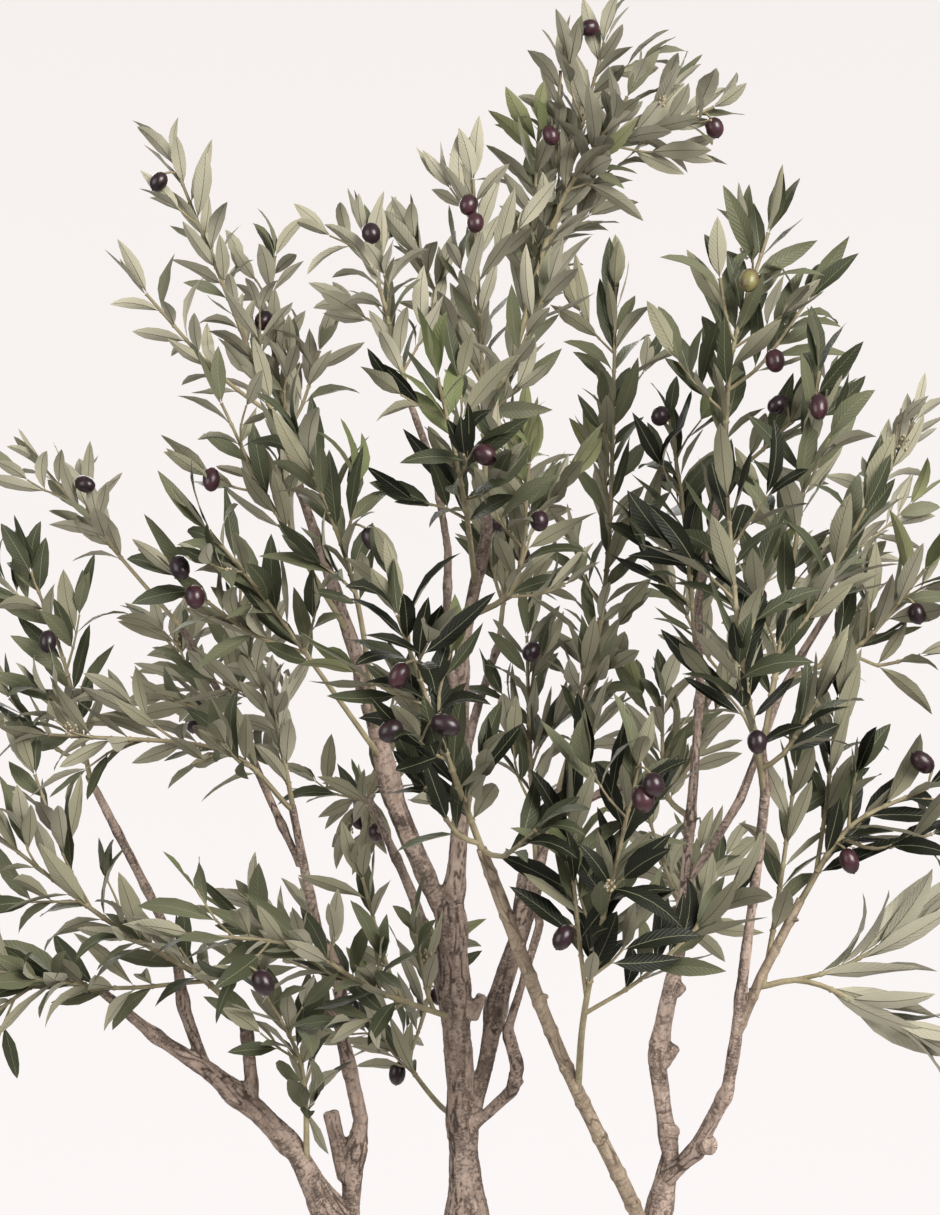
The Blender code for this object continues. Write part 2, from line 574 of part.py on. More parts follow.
def twig_paths(stem, shoots, bare, count, chance):
    """The side shoots that a mass names, then its twigs, turning round the stem by the golden angle."""
    paths = []
    for share, tip in shoots:
        root, radius, _ = place_at(stem, share)
        middle = root.lerp(Vector(tip), 0.5) - Vector((0, 0, SHOOT_SAG))
        foot = radius * SHOOT_SHARE_OF_STEM
        paths.append(tapered([root, middle, Vector(tip)], foot, STEM_TIP_RADIUS, STEM_SPACING))
    turn = chance.uniform(0, math.tau)
    first_share = max(bare, TWIGS_FROM)
    for number in range(count):
        share = first_share + (TWIGS_TO - first_share) * (number + 0.5) / count
        root, radius, direction = place_at(stem, share)
        lean = math.radians(chance.uniform(*TWIG_LEANS))
        out = across(direction, turn)
        first = direction * math.cos(lean) + out * math.sin(lean)
        length = TWIG_LENGTH * (1 + (TIP_TWIG_SHARE - 1) * share) * chance.uniform(*TWIG_LENGTHS)
        foot = min(TWIG_RADIUS, radius * TWIG_SHARE_OF_STEM)
        paths.append(tapered([root, root + first * length], foot, TWIG_TIP_RADIUS, length))
        turn += GOLDEN_ANGLE
    return paths


def leaf_places(paths, stem_bare, count):
    """Even places along the stem and its twigs: path, share along it and a turn about it."""
    spans = [(path, TWIG_BARE if number else stem_bare) for number, path in enumerate(paths)]
    total = sum(length_of(path) * (1 - bare) for path, bare in spans)
    spacing = total / count
    places = []
    for number, (path, bare) in enumerate(spans):
        length = length_of(path)
        fitting = max(2, round(length * (1 - bare) / spacing))
        for step in range(fitting):
            share = 1 - (1 - bare) * step / fitting
            places.append((path, share, step * GOLDEN_ANGLE + number))
    return places


def faces_front(name):
    """Whether a mass grows on the front of the crown, where its leaves turn their upper sides forward."""
    return MASSES[name][2][-1][1] < 0


def start_mass(name, limb_paths, solids, parts, pieces):
    """The bare stem of a mass, seated on its limb. Returns the solid, its path and its shape."""
    carrier, share, bends = MASSES[name][:3]
    limb = limb_paths[carrier]
    inset = min(share, 1 - STEM_INSET / length_of(limb))
    root, bough_radius, _ = place_at(limb, inset)
    stem_bends = [root, *(Vector(bend) for bend in bends)]
    stem_radius = min(STEM_RADIUS, bough_radius * STEM_SHARE_OF_BOUGH)
    path = tapered(stem_bends, stem_radius, STEM_TIP_RADIUS, STEM_SPACING)
    stem = tube(name, path, 3, parts)
    sides = BOUGH_SIDES if LIMBS[carrier][0] else TRUNK_SIDES
    tube(carrier + " cutter", widened(limb, CLEARANCE), sides, pieces)
    combine(stem, pieces, "DIFFERENCE")
    keep_largest(stem)
    shape = tree_of(stem.data)
    touching = [other for other, solid in solids.items() if shape.overlap(solid)]
    if touching:
        print(name, "has a stem that touches", touching)
    return stem, path, shape


def grow_twigs(name, stem, others, chance, pieces):
    """The side shoots and twigs of a mass that touch nothing else: their paths and shapes."""
    shoots, bare, twig_count = MASSES[name][3], MASSES[name][5], MASSES[name][6]
    paths = []
    shapes = []
    for path in twig_paths(stem, shoots, bare, twig_count, chance):
        twig = tube("twig", path, 3, pieces)
        probe = tube("probe", widened(path, PROBE), 3, pieces)
        touching = not clear_of(tree_of(probe.data), others)
        remove(probe)
        if touching:
            remove(twig)
        else:
            paths.append(path)
            shapes.append(tree_of(twig.data))
    return paths, shapes


def leaf_at(place, light, attempt, chance):
    """The root, direction, upper side and length of a leaf at a place along a twig."""
    path, share, turn = place
    root, radius, direction = place_at(path, share)
    lean = math.radians(TIP_LEAF_ANGLE if share == 1 else chance.uniform(*LEAF_ANGLES))
    out = across(direction, turn + attempt * TURN_A_TRY + chance.uniform(-LEAF_JITTER, LEAF_JITTER))
    along = direction * math.cos(lean) + out * math.sin(lean)
    face = direction * math.sin(lean) - out * math.cos(lean) + light
    face = face + across(along, turn) * chance.uniform(-LEAF_ROLL, LEAF_ROLL)
    face = (face - along * face.dot(along)).normalized()
    length = LEAF_LENGTH * chance.uniform(*LEAF_LENGTHS)
    return root - along * min(radius, LEAF_SINK), along, face, length


def grow_leaves(name, paths, own, others, chance, pieces):
    """Leaves along a mass's stem and twigs, turned until they clear the rest or else left out."""
    reach, bare, leaf_count = MASSES[name][4], MASSES[name][5], MASSES[name][7]
    spine = [smooth(path, SPACE_STEP) for path in paths[:1 + len(MASSES[name][3])]]
    light = Vector((0, -LIGHT_SIDE if faces_front(name) else LIGHT_SIDE, UPWARDS))
    for place in leaf_places(paths, bare, leaf_count):
        for attempt in range(LEAF_TRIES):
            root, along, face, length = leaf_at(place, light, attempt, chance)
            wide, faces = blade(root, along, face, length, PROBE)
            beyond_root = [root + along * length * LEAF_ROOT, *wide[1:]]
            inside = near(wide[-1], spine, reach)
            if not inside or not clear_of(BVHTree.FromPolygons(wide, faces), others):
                continue
            if clear_of(BVHTree.FromPolygons(beyond_root, faces), own):
                corners, _ = blade(root, along, face, length)
                leaf(corners, faces, pieces)
                own.append(BVHTree.FromPolygons(corners, faces))
                break


def hang_olives(name, paths, others, pieces):
    """Olives near the places that a mass names, each on a stalk from the nearest twig."""
    for centre in map(Vector, MASSES[name][8]):
        places = [bend.xyz for path in paths for bend in smooth(path, OLIVE_WIDTH / 2)]
        root = min(places, key=lambda place: (place - centre).length)
        stalk = centre - root
        reach = max(OLIVE_LENGTH * LEAST_STALK, min(stalk.length, STALK_REACH))
        centre = root + stalk.normalized() * reach
        if all(other.find_nearest(centre)[3] > OLIVE_LENGTH / 2 + PROBE for other in others):
            olive(centre, root, pieces)


def grow_mass(name, mass, stem, solids, pieces):
    """Joins a mass of foliage to one solid: its stem, twigs, leaves and olives."""
    chance = random.Random(name)
    others = [solid for other, solid in solids.items() if other != name]
    twigs, shapes = grow_twigs(name, stem, others, chance, pieces)
    own = [tree_of(mass.data), *shapes]
    grow_leaves(name, [stem, *twigs], own, others, chance, pieces)
    hang_olives(name, [stem, *twigs], others, pieces)
    combine(mass, pieces, "UNION")
    keep_largest(mass)
    solids[name] = tree_of(mass.data)


for leftover in list(bpy.data.objects):
    bpy.data.objects.remove(leftover, do_unlink=True)

PARTS = collection("Potted olive tree")
CUTTERS = collection("Cutters")
TWIG_SECTION = triangle_profile()
CUTTERS.objects.link(TWIG_SECTION)
PIECES = collection("Pieces to join")

BARK = material("bark", (0.27, 0.20, 0.155), 0.85)
DARK_LEAF = material("dark leaf", (0.055, 0.085, 0.050), 0.6)
PALE_LEAF = material("pale leaf", (0.23, 0.27, 0.20), 0.75)
GLAZE = material("planter", (0.42, 0.40, 0.37), 0.7)
FILLER = material("moss and filler", (0.16, 0.15, 0.09), 0.95)

planter(PARTS, GLAZE, FILLER)
LIMB_PATHS, SOLIDS = grow_limbs(PARTS, PIECES, BARK)
STEMS = {}
for mass_name in MASSES:
    STEMS[mass_name] = start_mass(mass_name, LIMB_PATHS, SOLIDS, PARTS, PIECES)
    SOLIDS[mass_name] = STEMS[mass_name][2]
for mass_name, (mass_solid, stem_path, _) in STEMS.items():
    grow_mass(mass_name, mass_solid, stem_path, SOLIDS, PIECES)
    finish(mass_solid, DARK_LEAF if faces_front(mass_name) else PALE_LEAF, PARTS)
bpy.data.collections.remove(PIECES)
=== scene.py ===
import math
import random

import bpy
import numpy as np
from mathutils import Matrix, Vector, noise
from mathutils.bvhtree import BVHTree
from mathutils.kdtree import KDTree


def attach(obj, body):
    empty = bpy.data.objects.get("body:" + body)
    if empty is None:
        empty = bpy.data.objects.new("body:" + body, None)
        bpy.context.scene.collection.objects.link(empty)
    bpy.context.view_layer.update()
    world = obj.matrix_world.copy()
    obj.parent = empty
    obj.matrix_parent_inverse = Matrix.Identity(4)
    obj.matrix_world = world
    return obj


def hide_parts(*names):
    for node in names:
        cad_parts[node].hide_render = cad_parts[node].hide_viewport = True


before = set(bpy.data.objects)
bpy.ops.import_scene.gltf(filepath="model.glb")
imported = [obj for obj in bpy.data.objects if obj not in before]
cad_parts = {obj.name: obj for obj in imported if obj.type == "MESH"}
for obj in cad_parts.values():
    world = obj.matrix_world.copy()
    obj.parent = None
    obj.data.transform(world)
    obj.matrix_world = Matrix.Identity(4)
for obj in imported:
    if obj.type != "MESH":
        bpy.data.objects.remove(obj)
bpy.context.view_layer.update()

scene = bpy.context.scene
scene.view_settings.view_transform = "Standard"
goldenAngle = math.radians(137.5)


# selecting and modifiers

def deselectAll():
    if bpy.context.object and bpy.context.object.mode != "OBJECT":
        bpy.ops.object.mode_set(mode="OBJECT")
    bpy.ops.object.select_all(action="DESELECT")


def pickOnly(*objects):
    deselectAll()
    for obj in objects:
        obj.select_set(True)
    bpy.context.view_layer.objects.active = objects[0]


def applyModifier(obj, kind, **values):
    pickOnly(obj)
    modifier = obj.modifiers.new(kind.lower(), kind)
    for key, value in values.items():
        setattr(modifier, key, value)
    bpy.ops.object.modifier_apply(modifier=modifier.name)


# node helpers: a socket takes a number, a colour, or a link from another node

def feed(tree, socket, value):
    if hasattr(value, "is_output"):
        tree.links.new(value, socket)
    else:
        socket.default_value = (*value, 1) if socket.type == "RGBA" else value


def addNode(tree, kind, inputs=None, **values):
    node = tree.nodes.new("ShaderNode" + kind)
    for key, value in values.items():
        setattr(node, key, value)
    for key, value in (inputs or {}).items():
        feed(tree, node.inputs[key], value)
    return node


def addNoise(tree, place, scale, detail=3.0, roughness=0.55):
    return addNode(tree, "TexNoise", {
        "Vector": place, "Scale": scale, "Detail": detail, "Roughness": roughness}).outputs["Fac"]


def addMix(tree, factor, first, second):
    return addNode(tree, "Mix", {0: factor, 6: first, 7: second}, data_type="RGBA").outputs[2]


def addMaths(tree, operation, *values):
    return addNode(tree, "Math", dict(enumerate(values)), operation=operation).outputs[0]


def addRange(tree, value, fromMin, fromMax=1.0, toMin=0.0, toMax=1.0, **values):
    return addNode(tree, "MapRange", {
        "Value": value, "From Min": fromMin, "From Max": fromMax, "To Min": toMin, "To Max": toMax},
        **values).outputs["Result"]


def addMapping(tree, place, scale):
    return addNode(tree, "Mapping", {"Vector": place, "Scale": scale}).outputs["Vector"]


def addPlace(tree):
    return addNode(tree, "TexCoord").outputs["Object"]


def addBump(tree, shader, height, distance, strength):
    bump = addNode(tree, "Bump", {"Height": height, "Distance": distance, "Strength": strength})
    feed(tree, shader.inputs["Normal"], bump.outputs["Normal"])


def newMaterial(name, inputs):
    material = bpy.data.materials.new(name)
    material.use_nodes = True
    shader = material.node_tree.nodes["Principled BSDF"]
    for key, value in inputs.items():
        feed(material.node_tree, shader.inputs[key], value)
    return material, material.node_tree, shader


# camera: level, at the height of the middle of the crown
cameraSettings = {"away": 1.9, "height": 1.4955, "frameHeight": 1.215}
camera = bpy.data.objects.new("camera", bpy.data.cameras.new("camera"))
camera.location = (0, -cameraSettings["away"], cameraSettings["height"])
camera.rotation_euler = (math.radians(90), 0, 0)
camera.data.lens = camera.data.sensor_width * cameraSettings["away"] / cameraSettings["frameHeight"]
scene.collection.objects.link(camera)
scene.camera = camera

# studio: bright paper behind, a soft key from the right, a weaker fill from the left, and a back light
studio = {
    "paper": {0.30: (0.985, 0.945, 0.938), 0.68: (0.915, 0.872, 0.848)}, "ambient": (0.38, 0.37, 0.37),
    "aim": (0, 0, 1.3),
    "lights": {
        "key": {"at": (1.9, -2.7, 3.2), "size": 2.0, "power": 250, "colour": (1.0, 0.97, 0.94)},
        "fill": {"at": (-2.6, -2.2, 2.4), "size": 2.4, "power": 70, "colour": (1.0, 0.98, 0.96)},
        "behind": {"at": (-0.8, 3.0, 3.0), "size": 2.4, "power": 90, "colour": (1.0, 0.98, 0.96)},
    },
}
world = bpy.data.worlds.new("studio")
world.use_nodes = True
sky = world.node_tree
outward = addNode(sky, "TexCoord").outputs["Generated"]
level = addNode(sky, "SeparateXYZ", {0: outward}).outputs["Z"]
paper = addNode(sky, "ValToRGB", {"Fac": addRange(sky, level, -1)})
for element, (place, colour) in zip(paper.color_ramp.elements, studio["paper"].items()):
    element.position = place
    element.color = (*colour, 1)
seen = addNode(sky, "LightPath").outputs["Is Camera Ray"]
feed(sky, sky.nodes["Background"].inputs["Color"],
    addMix(sky, seen, studio["ambient"], paper.outputs["Color"]))
scene.world = world
for name, one in studio["lights"].items():
    lamp = bpy.data.lights.new(name, "AREA")
    lamp.size = one["size"]
    lamp.energy = one["power"]
    lamp.color = one["colour"]
    lampObject = bpy.data.objects.new(name, lamp)
    lampObject.location = one["at"]
    aim = Vector(studio["aim"]) - Vector(one["at"])
    lampObject.rotation_euler = aim.to_track_quat("-Z", "Y").to_euler()
    scene.collection.objects.link(lampObject)
print("studio: camera and lights set")


# groups that several finishes share

def startGroup(name, inputs, outputs):
    group = bpy.data.node_groups.new(name, "ShaderNodeTree")
    for socketName, (kind, value) in inputs.items():
        socket = group.interface.new_socket(
            name=socketName, in_out="INPUT", socket_type="NodeSocket" + kind)
        if value is not None:
            socket.default_value = value
    for socketName, kind in outputs.items():
        group.interface.new_socket(name=socketName, in_out="OUTPUT", socket_type="NodeSocket" + kind)
    given = group.nodes.new("NodeGroupInput").outputs
    return group, given, group.nodes.new("NodeGroupOutput").inputs


def makeLeafRelief():
    # woven blade: side veins running forward from the midrib, and the cloth's fine grain
    group, given, out = startGroup("leafRelief", {
        "UV": ("Vector", None), "Place": ("Vector", None),
        "Veins": ("Float", 1.0), "Roughness": ("Float", 0.6)},
        {"Height": "Float", "Roughness": "Float"})
    split = addNode(group, "SeparateXYZ", {0: given["UV"]}).outputs
    side = addMaths(group, "ABSOLUTE", addMaths(group, "SUBTRACT", split[0], 0.5))
    slant = addMaths(group, "MULTIPLY_ADD", side, -0.42, split[1])
    wave = addMaths(group, "SINE", addMaths(group, "MULTIPLY", slant, 82.0))
    vein = addMaths(group, "POWER", addMaths(group, "MULTIPLY_ADD", wave, 0.5, 0.5), 5.0)
    raised = addMaths(group, "MULTIPLY", vein, given["Veins"])
    grain = addNoise(group, given["Place"], 2600.0, 2.0)
    feed(group, out["Height"], addMaths(group, "MULTIPLY_ADD", grain, 0.3, raised))
    blotch = addNoise(group, given["Place"], 240.0, 2.0)
    rough = addMaths(group, "MULTIPLY_ADD", blotch, 0.22, given["Roughness"])
    feed(group, out["Roughness"], addMaths(group, "SUBTRACT", rough, 0.11))
    return group


def makeMottle():
    # two colours mixed in soft patches with finer specks over them
    group, given, out = startGroup("mottle", {
        "Place": ("Vector", None), "Patches": ("Float", 60.0), "Specks": ("Float", 500.0),
        "Light": ("Color", (1, 1, 1, 1)), "Dark": ("Color", (0, 0, 0, 1))},
        {"Color": "Color", "Mask": "Float"})
    patches, specks = (
        addNode(group, "TexNoise", {"Vector": given["Place"], "Scale": scale, "Detail": detail})
        for scale, detail in ((given["Patches"], 4.0), (given["Specks"], 2.0)))
    both = addMaths(group, "MULTIPLY_ADD", specks.outputs["Fac"], 0.4, patches.outputs["Fac"])
    mask = addRange(group, both, 0.52, 0.88)
    feed(group, out["Color"], addMix(group, mask, given["Dark"], given["Light"]))
    feed(group, out["Mask"], mask)
    return group


leafRelief = makeLeafRelief()
mottle = makeMottle()


def addMottle(tree, place, look):
    return addNode(tree, "Group", {
        "Place": place, "Patches": look["patches"], "Specks": look["specks"],
        "Light": look["light"], "Dark": look["dark"]}, node_tree=mottle).outputs


def makeMottledFinish(name, look):
    # mottled colour, roughness that follows a noise or the mottle, and a grain in the surface
    material, tree, shader = newMaterial(name, look["shader"])
    place = addPlace(tree)
    blend = addMottle(tree, place, look)
    feed(tree, shader.inputs["Base Color"], blend["Color"])
    if "wornBy" in look:
        worn = addNoise(tree, place, look["worn"], 2.0) if "worn" in look else blend["Mask"]
        rough = addMaths(tree, "MULTIPLY_ADD", worn, look["wornBy"], look["rough"])
        feed(tree, shader.inputs["Roughness"], rough)
    addBump(tree, shader, addNoise(tree, place, *look["grain"]), *look["bump"])
    return material


# leaf finishes as colour, roughness and sheen: upper sides dark, undersides silvery, ribs fine
leafTones = {
    # painted shade: the darkest upper side, first below, is deep green made darker still for the shade
    # inside the crown
    "shadedDeepTop": ((0.009, 0.011, 0.005), 0.50, 0.0), "darkTop": ((0.046, 0.052, 0.027), 0.52, 0.0),
    "greenTop": ((0.098, 0.104, 0.057), 0.52, 0.03), "sageTop": ((0.150, 0.153, 0.096), 0.58, 0.06),
    "youngTop": ((0.120, 0.138, 0.056), 0.52, 0.03), "silverUnder": ((0.327, 0.311, 0.232), 0.78, 0.12),
    "paleUnder": ((0.284, 0.270, 0.194), 0.78, 0.12), "sageUnder": ((0.228, 0.219, 0.145), 0.78, 0.10),
    # painted shade: the grey underside, first below, is the underside tone darkened for the shade inside
    # the crown
    "shadedUnder": ((0.178, 0.172, 0.113), 0.78, 0.08), "youngUnder": ((0.205, 0.215, 0.105), 0.72, 0.08),
    "ribPale": ((0.150, 0.152, 0.092), 0.60, 0.0), "ribBrown": ((0.112, 0.096, 0.056), 0.75, 0.0),
}
toneNames = list(leafTones)


def makeLeafFinish(name):
    colour, rough, sheen = leafTones[name]
    material, tree, shader = newMaterial(name, {
        "Base Color": colour, "Sheen Weight": sheen, "Sheen Roughness": 0.6, "Specular IOR Level": 0.22})
    relief = addNode(tree, "Group", {
        "UV": addNode(tree, "UVMap", uv_map="blade").outputs["UV"], "Place": addPlace(tree),
        "Veins": 1.0 if name.endswith("Top") else 0.6, "Roughness": rough}, node_tree=leafRelief).outputs
    feed(tree, shader.inputs["Roughness"], relief["Roughness"])
    addBump(tree, shader, relief["Height"], 0.0006, 0.55)
    return material


leafFinishes = [makeLeafFinish(name) for name in leafTones]

# bark finishes: a mottled ground with dust, dark flakes and grooves, and painted shade that darkens it up
# inside the crown
barkLooks = {
    "bark": {
        "light": (0.372, 0.289, 0.236), "dark": (0.220, 0.163, 0.131), "groove": (0.080, 0.058, 0.046),
        "dust": (0.415, 0.340, 0.290), "flake": (0.098, 0.071, 0.057), "flakes": 330.0, "flaking": 0.85,
        "crownShade": 0.38, "patches": 230.0, "specks": 1100.0, "bump": 0.0010, "rough": 0.72},
    # painted light: a lighter copy of the bark, for the right boughs that stand nearer the key light
    "paintedLightBark": {
        "light": (0.462, 0.358, 0.296), "dark": (0.268, 0.200, 0.162), "groove": (0.090, 0.066, 0.053),
        "dust": (0.500, 0.412, 0.352), "flake": (0.110, 0.080, 0.064), "flakes": 330.0, "flaking": 0.80,
        "crownShade": 0.40, "patches": 230.0, "specks": 1100.0, "bump": 0.0010, "rough": 0.72},
    "paintedStem": {
        "light": (0.350, 0.278, 0.200), "dark": (0.205, 0.155, 0.112), "groove": (0.120, 0.088, 0.062),
        "dust": (0.385, 0.335, 0.240), "flake": (0.175, 0.140, 0.095), "flakes": 300.0, "flaking": 0.5,
        "crownShade": 0.15, "patches": 85.0, "specks": 700.0, "bump": 0.0004, "rough": 0.52},
    "twig": {
        "light": (0.300, 0.262, 0.160), "dark": (0.185, 0.152, 0.092), "groove": (0.110, 0.086, 0.055),
        "dust": (0.330, 0.290, 0.190), "flake": (0.165, 0.140, 0.085), "flakes": 400.0, "flaking": 0.4,
        "crownShade": 0.0, "patches": 120.0, "specks": 900.0, "bump": 0.0002, "rough": 0.58},
}


def makeBarkFinish(name, look):
    material, tree, shader = newMaterial(name, {"Specular IOR Level": 0.3})
    place = addNode(tree, "Attribute", attribute_name="barkPlace").outputs["Vector"]
    crack = addNode(tree, "Attribute", attribute_name="crack").outputs["Fac"]
    stretched = addMapping(tree, place, (1, 1, 0.45))
    ground = addMottle(tree, stretched, look)
    dust = addMaths(tree, "MULTIPLY", addRange(tree, addNoise(tree, place, 26.0, 2.0), 0.5, 0.75), 0.45)
    dusty = addMix(tree, dust, ground["Color"], look["dust"])
    # flakes: small dark scales, close together in some places and few in others
    scales = addNoise(tree, addMapping(tree, place, (0.8, 0.8, 1.5)), look["flakes"], 5.0, 0.75)
    where = addMaths(tree, "MULTIPLY_ADD", addNoise(tree, stretched, 55.0, 3.0), 0.9, scales)
    flaked = addRange(tree, where, 0.97, 1.10, toMax=look["flaking"])
    flaky = addMix(tree, flaked, dusty, look["flake"])
    # painted shade: higher up, where the crown shades the limbs, the bark is mixed towards the flake colour
    level = addNode(tree, "SeparateXYZ", {0: addPlace(tree)}).outputs["Z"]
    crownShaded = addMix(tree, addRange(tree, level, 1.22, 1.50, toMax=look["crownShade"]), flaky, look["flake"])
    cracked = addMaths(tree, "MINIMUM", addMaths(tree, "MULTIPLY", crack, 1.6), 1.0)
    feed(tree, shader.inputs["Base Color"], addMix(tree, cracked, crownShaded, look["groove"]))
    fine = addNoise(tree, stretched, 900.0, 3.0, 0.65)
    height = addMaths(tree, "MULTIPLY_ADD", ground["Mask"], 0.6, fine)
    addBump(tree, shader, addMaths(tree, "SUBTRACT", height, flaked), look["bump"], 0.8)
    feed(tree, shader.inputs["Roughness"], addMaths(tree, "MULTIPLY_ADD", fine, 0.25, look["rough"]))
    return material


barkFinishes = {name: makeBarkFinish(name, look) for name, look in barkLooks.items()}

footLevel = 0.2463

# limbs: the limb that each grows from, then its bends as x, y, z and radius
limbs = {
    "trunk": (None, [
        (0, 0, footLevel, 0.047), (0, 0, 0.272, 0.038), (0.002, 0.001, 0.33, 0.0325),
        (0.010, 0.004, 0.46, 0.030), (0.004, 0, 0.60, 0.029), (-0.004, -0.002, 0.70, 0.0285),
        (-0.004, 0, 0.80, 0.0245), (-0.003, 0, 0.89, 0.0195), (-0.006, 0, 0.95, 0.0152),
        (-0.015, 0, 1.10, 0.0145), (-0.020, 0, 1.198, 0.0135)]),
    "leader": ("trunk", [
        (-0.019, 0, 1.185, 0.0095), (-0.008, 0, 1.303, 0.0095), (-0.008, 0.01, 1.453, 0.0076),
        (0.016, 0.04, 1.565, 0.0062), (0.021, 0.06, 1.668, 0.0055), (0.038, 0.08, 1.733, 0.0048),
        (0.050, 0.09, 1.772, 0.0044)]),
    "left_fork": ("trunk", [
        (-0.018, 0, 1.165, 0.0092), (-0.042, 0, 1.223, 0.0092), (-0.076, 0.005, 1.302, 0.0110),
        (-0.101, 0.015, 1.402, 0.0088), (-0.134, 0.03, 1.503, 0.0065), (-0.187, 0.05, 1.652, 0.0042)]),
    "leader_left": ("leader", [
        (-0.008, 0.005, 1.395, 0.0050), (-0.023, -0.004, 1.44, 0.0050),
        (-0.022, -0.010, 1.553, 0.0045), (-0.034, -0.004, 1.63, 0.0042), (-0.060, -0.010, 1.70, 0.0038)]),
    "centre_right": ("trunk", [
        (-0.006, 0, 0.955, 0.0085), (0.015, 0.008, 1.035, 0.0085), (0.028, 0.02, 1.099, 0.0110),
        (0.062, 0.035, 1.198, 0.0095), (0.072, 0.04, 1.238, 0.0066), (0.091, 0.045, 1.31, 0.0050)]),
    "knee_branch": ("trunk", [
        (0, -0.004, 0.975, 0.0050), (0.042, -0.012, 1.016, 0.0065), (0.047, -0.020, 1.042, 0.0070),
        (0.037, -0.020, 1.077, 0.0050), (0.053, -0.015, 1.126, 0.0046), (0.070, 0.004, 1.178, 0.0044),
        (0.064, 0.032, 1.208, 0.0042)]),
    "left_back": ("trunk", [
        (-0.012, 0, 1.085, 0.0080), (-0.038, 0.03, 1.137, 0.0078), (-0.058, 0.08, 1.191, 0.0062),
        (-0.112, 0.22, 1.281, 0.0042)]),
    "left_limb": ("trunk", [
        (-0.004, 0, 0.70, 0.0160), (-0.045, -0.012, 0.765, 0.0165), (-0.095, -0.022, 0.832, 0.0165),
        (-0.145, -0.030, 0.912, 0.0148), (-0.171, -0.035, 0.963, 0.0108), (-0.209, -0.045, 1.005, 0.0112),
        (-0.254, -0.060, 1.048, 0.0082), (-0.294, -0.090, 1.083, 0.0058), (-0.345, -0.125, 1.138, 0.0044)]),
    "left_upper": ("left_limb", [
        (-0.256, -0.062, 1.048, 0.0062), (-0.275, -0.070, 1.108, 0.0062), (-0.284, -0.070, 1.166, 0.0048),
        (-0.352, -0.040, 1.289, 0.0044), (-0.378, -0.020, 1.330, 0.0040)]),
    "second_stem": ("left_limb", [
        (-0.095, -0.020, 0.832, 0.0088), (-0.119, -0.006, 0.885, 0.0088), (-0.118, 0, 0.933, 0.0098),
        (-0.109, 0, 0.983, 0.0078), (-0.128, 0.010, 1.061, 0.0072), (-0.131, 0.010, 1.126, 0.0068),
        (-0.153, 0.015, 1.170, 0.0056), (-0.180, 0.020, 1.296, 0.0042)]),
    "socket_stub": ("left_limb", [
        (-0.215, -0.046, 1.008, 0.0070), (-0.212, -0.050, 1.030, 0.0070), (-0.218, -0.060, 1.101, 0.0056)]),
    "right_limb": ("trunk", [
        (-0.004, 0, 0.68, 0.0170), (0.045, -0.015, 0.725, 0.0175), (0.105, -0.030, 0.785, 0.0172),
        (0.155, -0.042, 0.845, 0.0158), (0.182, -0.050, 0.90, 0.0130), (0.195, -0.055, 0.965, 0.0088),
        (0.182, -0.050, 1.055, 0.0095), (0.205, -0.045, 1.161, 0.0060), (0.212, -0.030, 1.227, 0.0054),
        (0.230, 0, 1.413, 0.0048), (0.226, -0.020, 1.503, 0.0044), (0.247, -0.060, 1.629, 0.0040)]),
    "right_front": ("right_limb", [
        (0.193, -0.056, 0.945, 0.0078), (0.217, -0.080, 0.976, 0.0080), (0.241, -0.120, 1.043, 0.0062),
        (0.251, -0.155, 1.16, 0.0052), (0.266, -0.190, 1.331, 0.0044), (0.261, -0.200, 1.372, 0.0040)]),
    "right_arm": ("right_front", [
        (0.247, -0.140, 1.10, 0.0050), (0.268, -0.150, 1.155, 0.0048), (0.305, -0.150, 1.227, 0.0042)]),
    "far_right": ("right_limb", [
        (0.211, -0.032, 1.222, 0.0044), (0.270, 0, 1.303, 0.0044), (0.313, 0.020, 1.408, 0.0042),
        (0.369, 0.020, 1.503, 0.0038)]),
    "front_stem": ("right_limb", [
        (0.174, -0.048, 0.882, 0.0082), (0.161, -0.075, 0.912, 0.0078), (0.147, -0.090, 0.944, 0.0076),
        (0.083, -0.150, 1.085, 0.0070), (0.028, -0.220, 1.235, 0.0060), (0.010, -0.240, 1.285, 0.0050)]),
    "back_right": ("centre_right", [
        (0.083, 0.043, 1.277, 0.0042), (0.137, 0.10, 1.30, 0.0044), (0.199, 0.16, 1.317, 0.0042),
        (0.278, 0.25, 1.402, 0.0038)]),
    "back_mid": ("leader", [
        (-0.008, 0, 1.33, 0.0060), (0.004, 0.09, 1.378, 0.0054), (0.033, 0.22, 1.459, 0.0042)]),
    "left_branch": ("second_stem", [
        (-0.171, 0.019, 1.235, 0.0040), (-0.204, 0.04, 1.299, 0.0042), (-0.244, 0.07, 1.379, 0.0040),
        (-0.305, 0.10, 1.477, 0.0038)]),
}

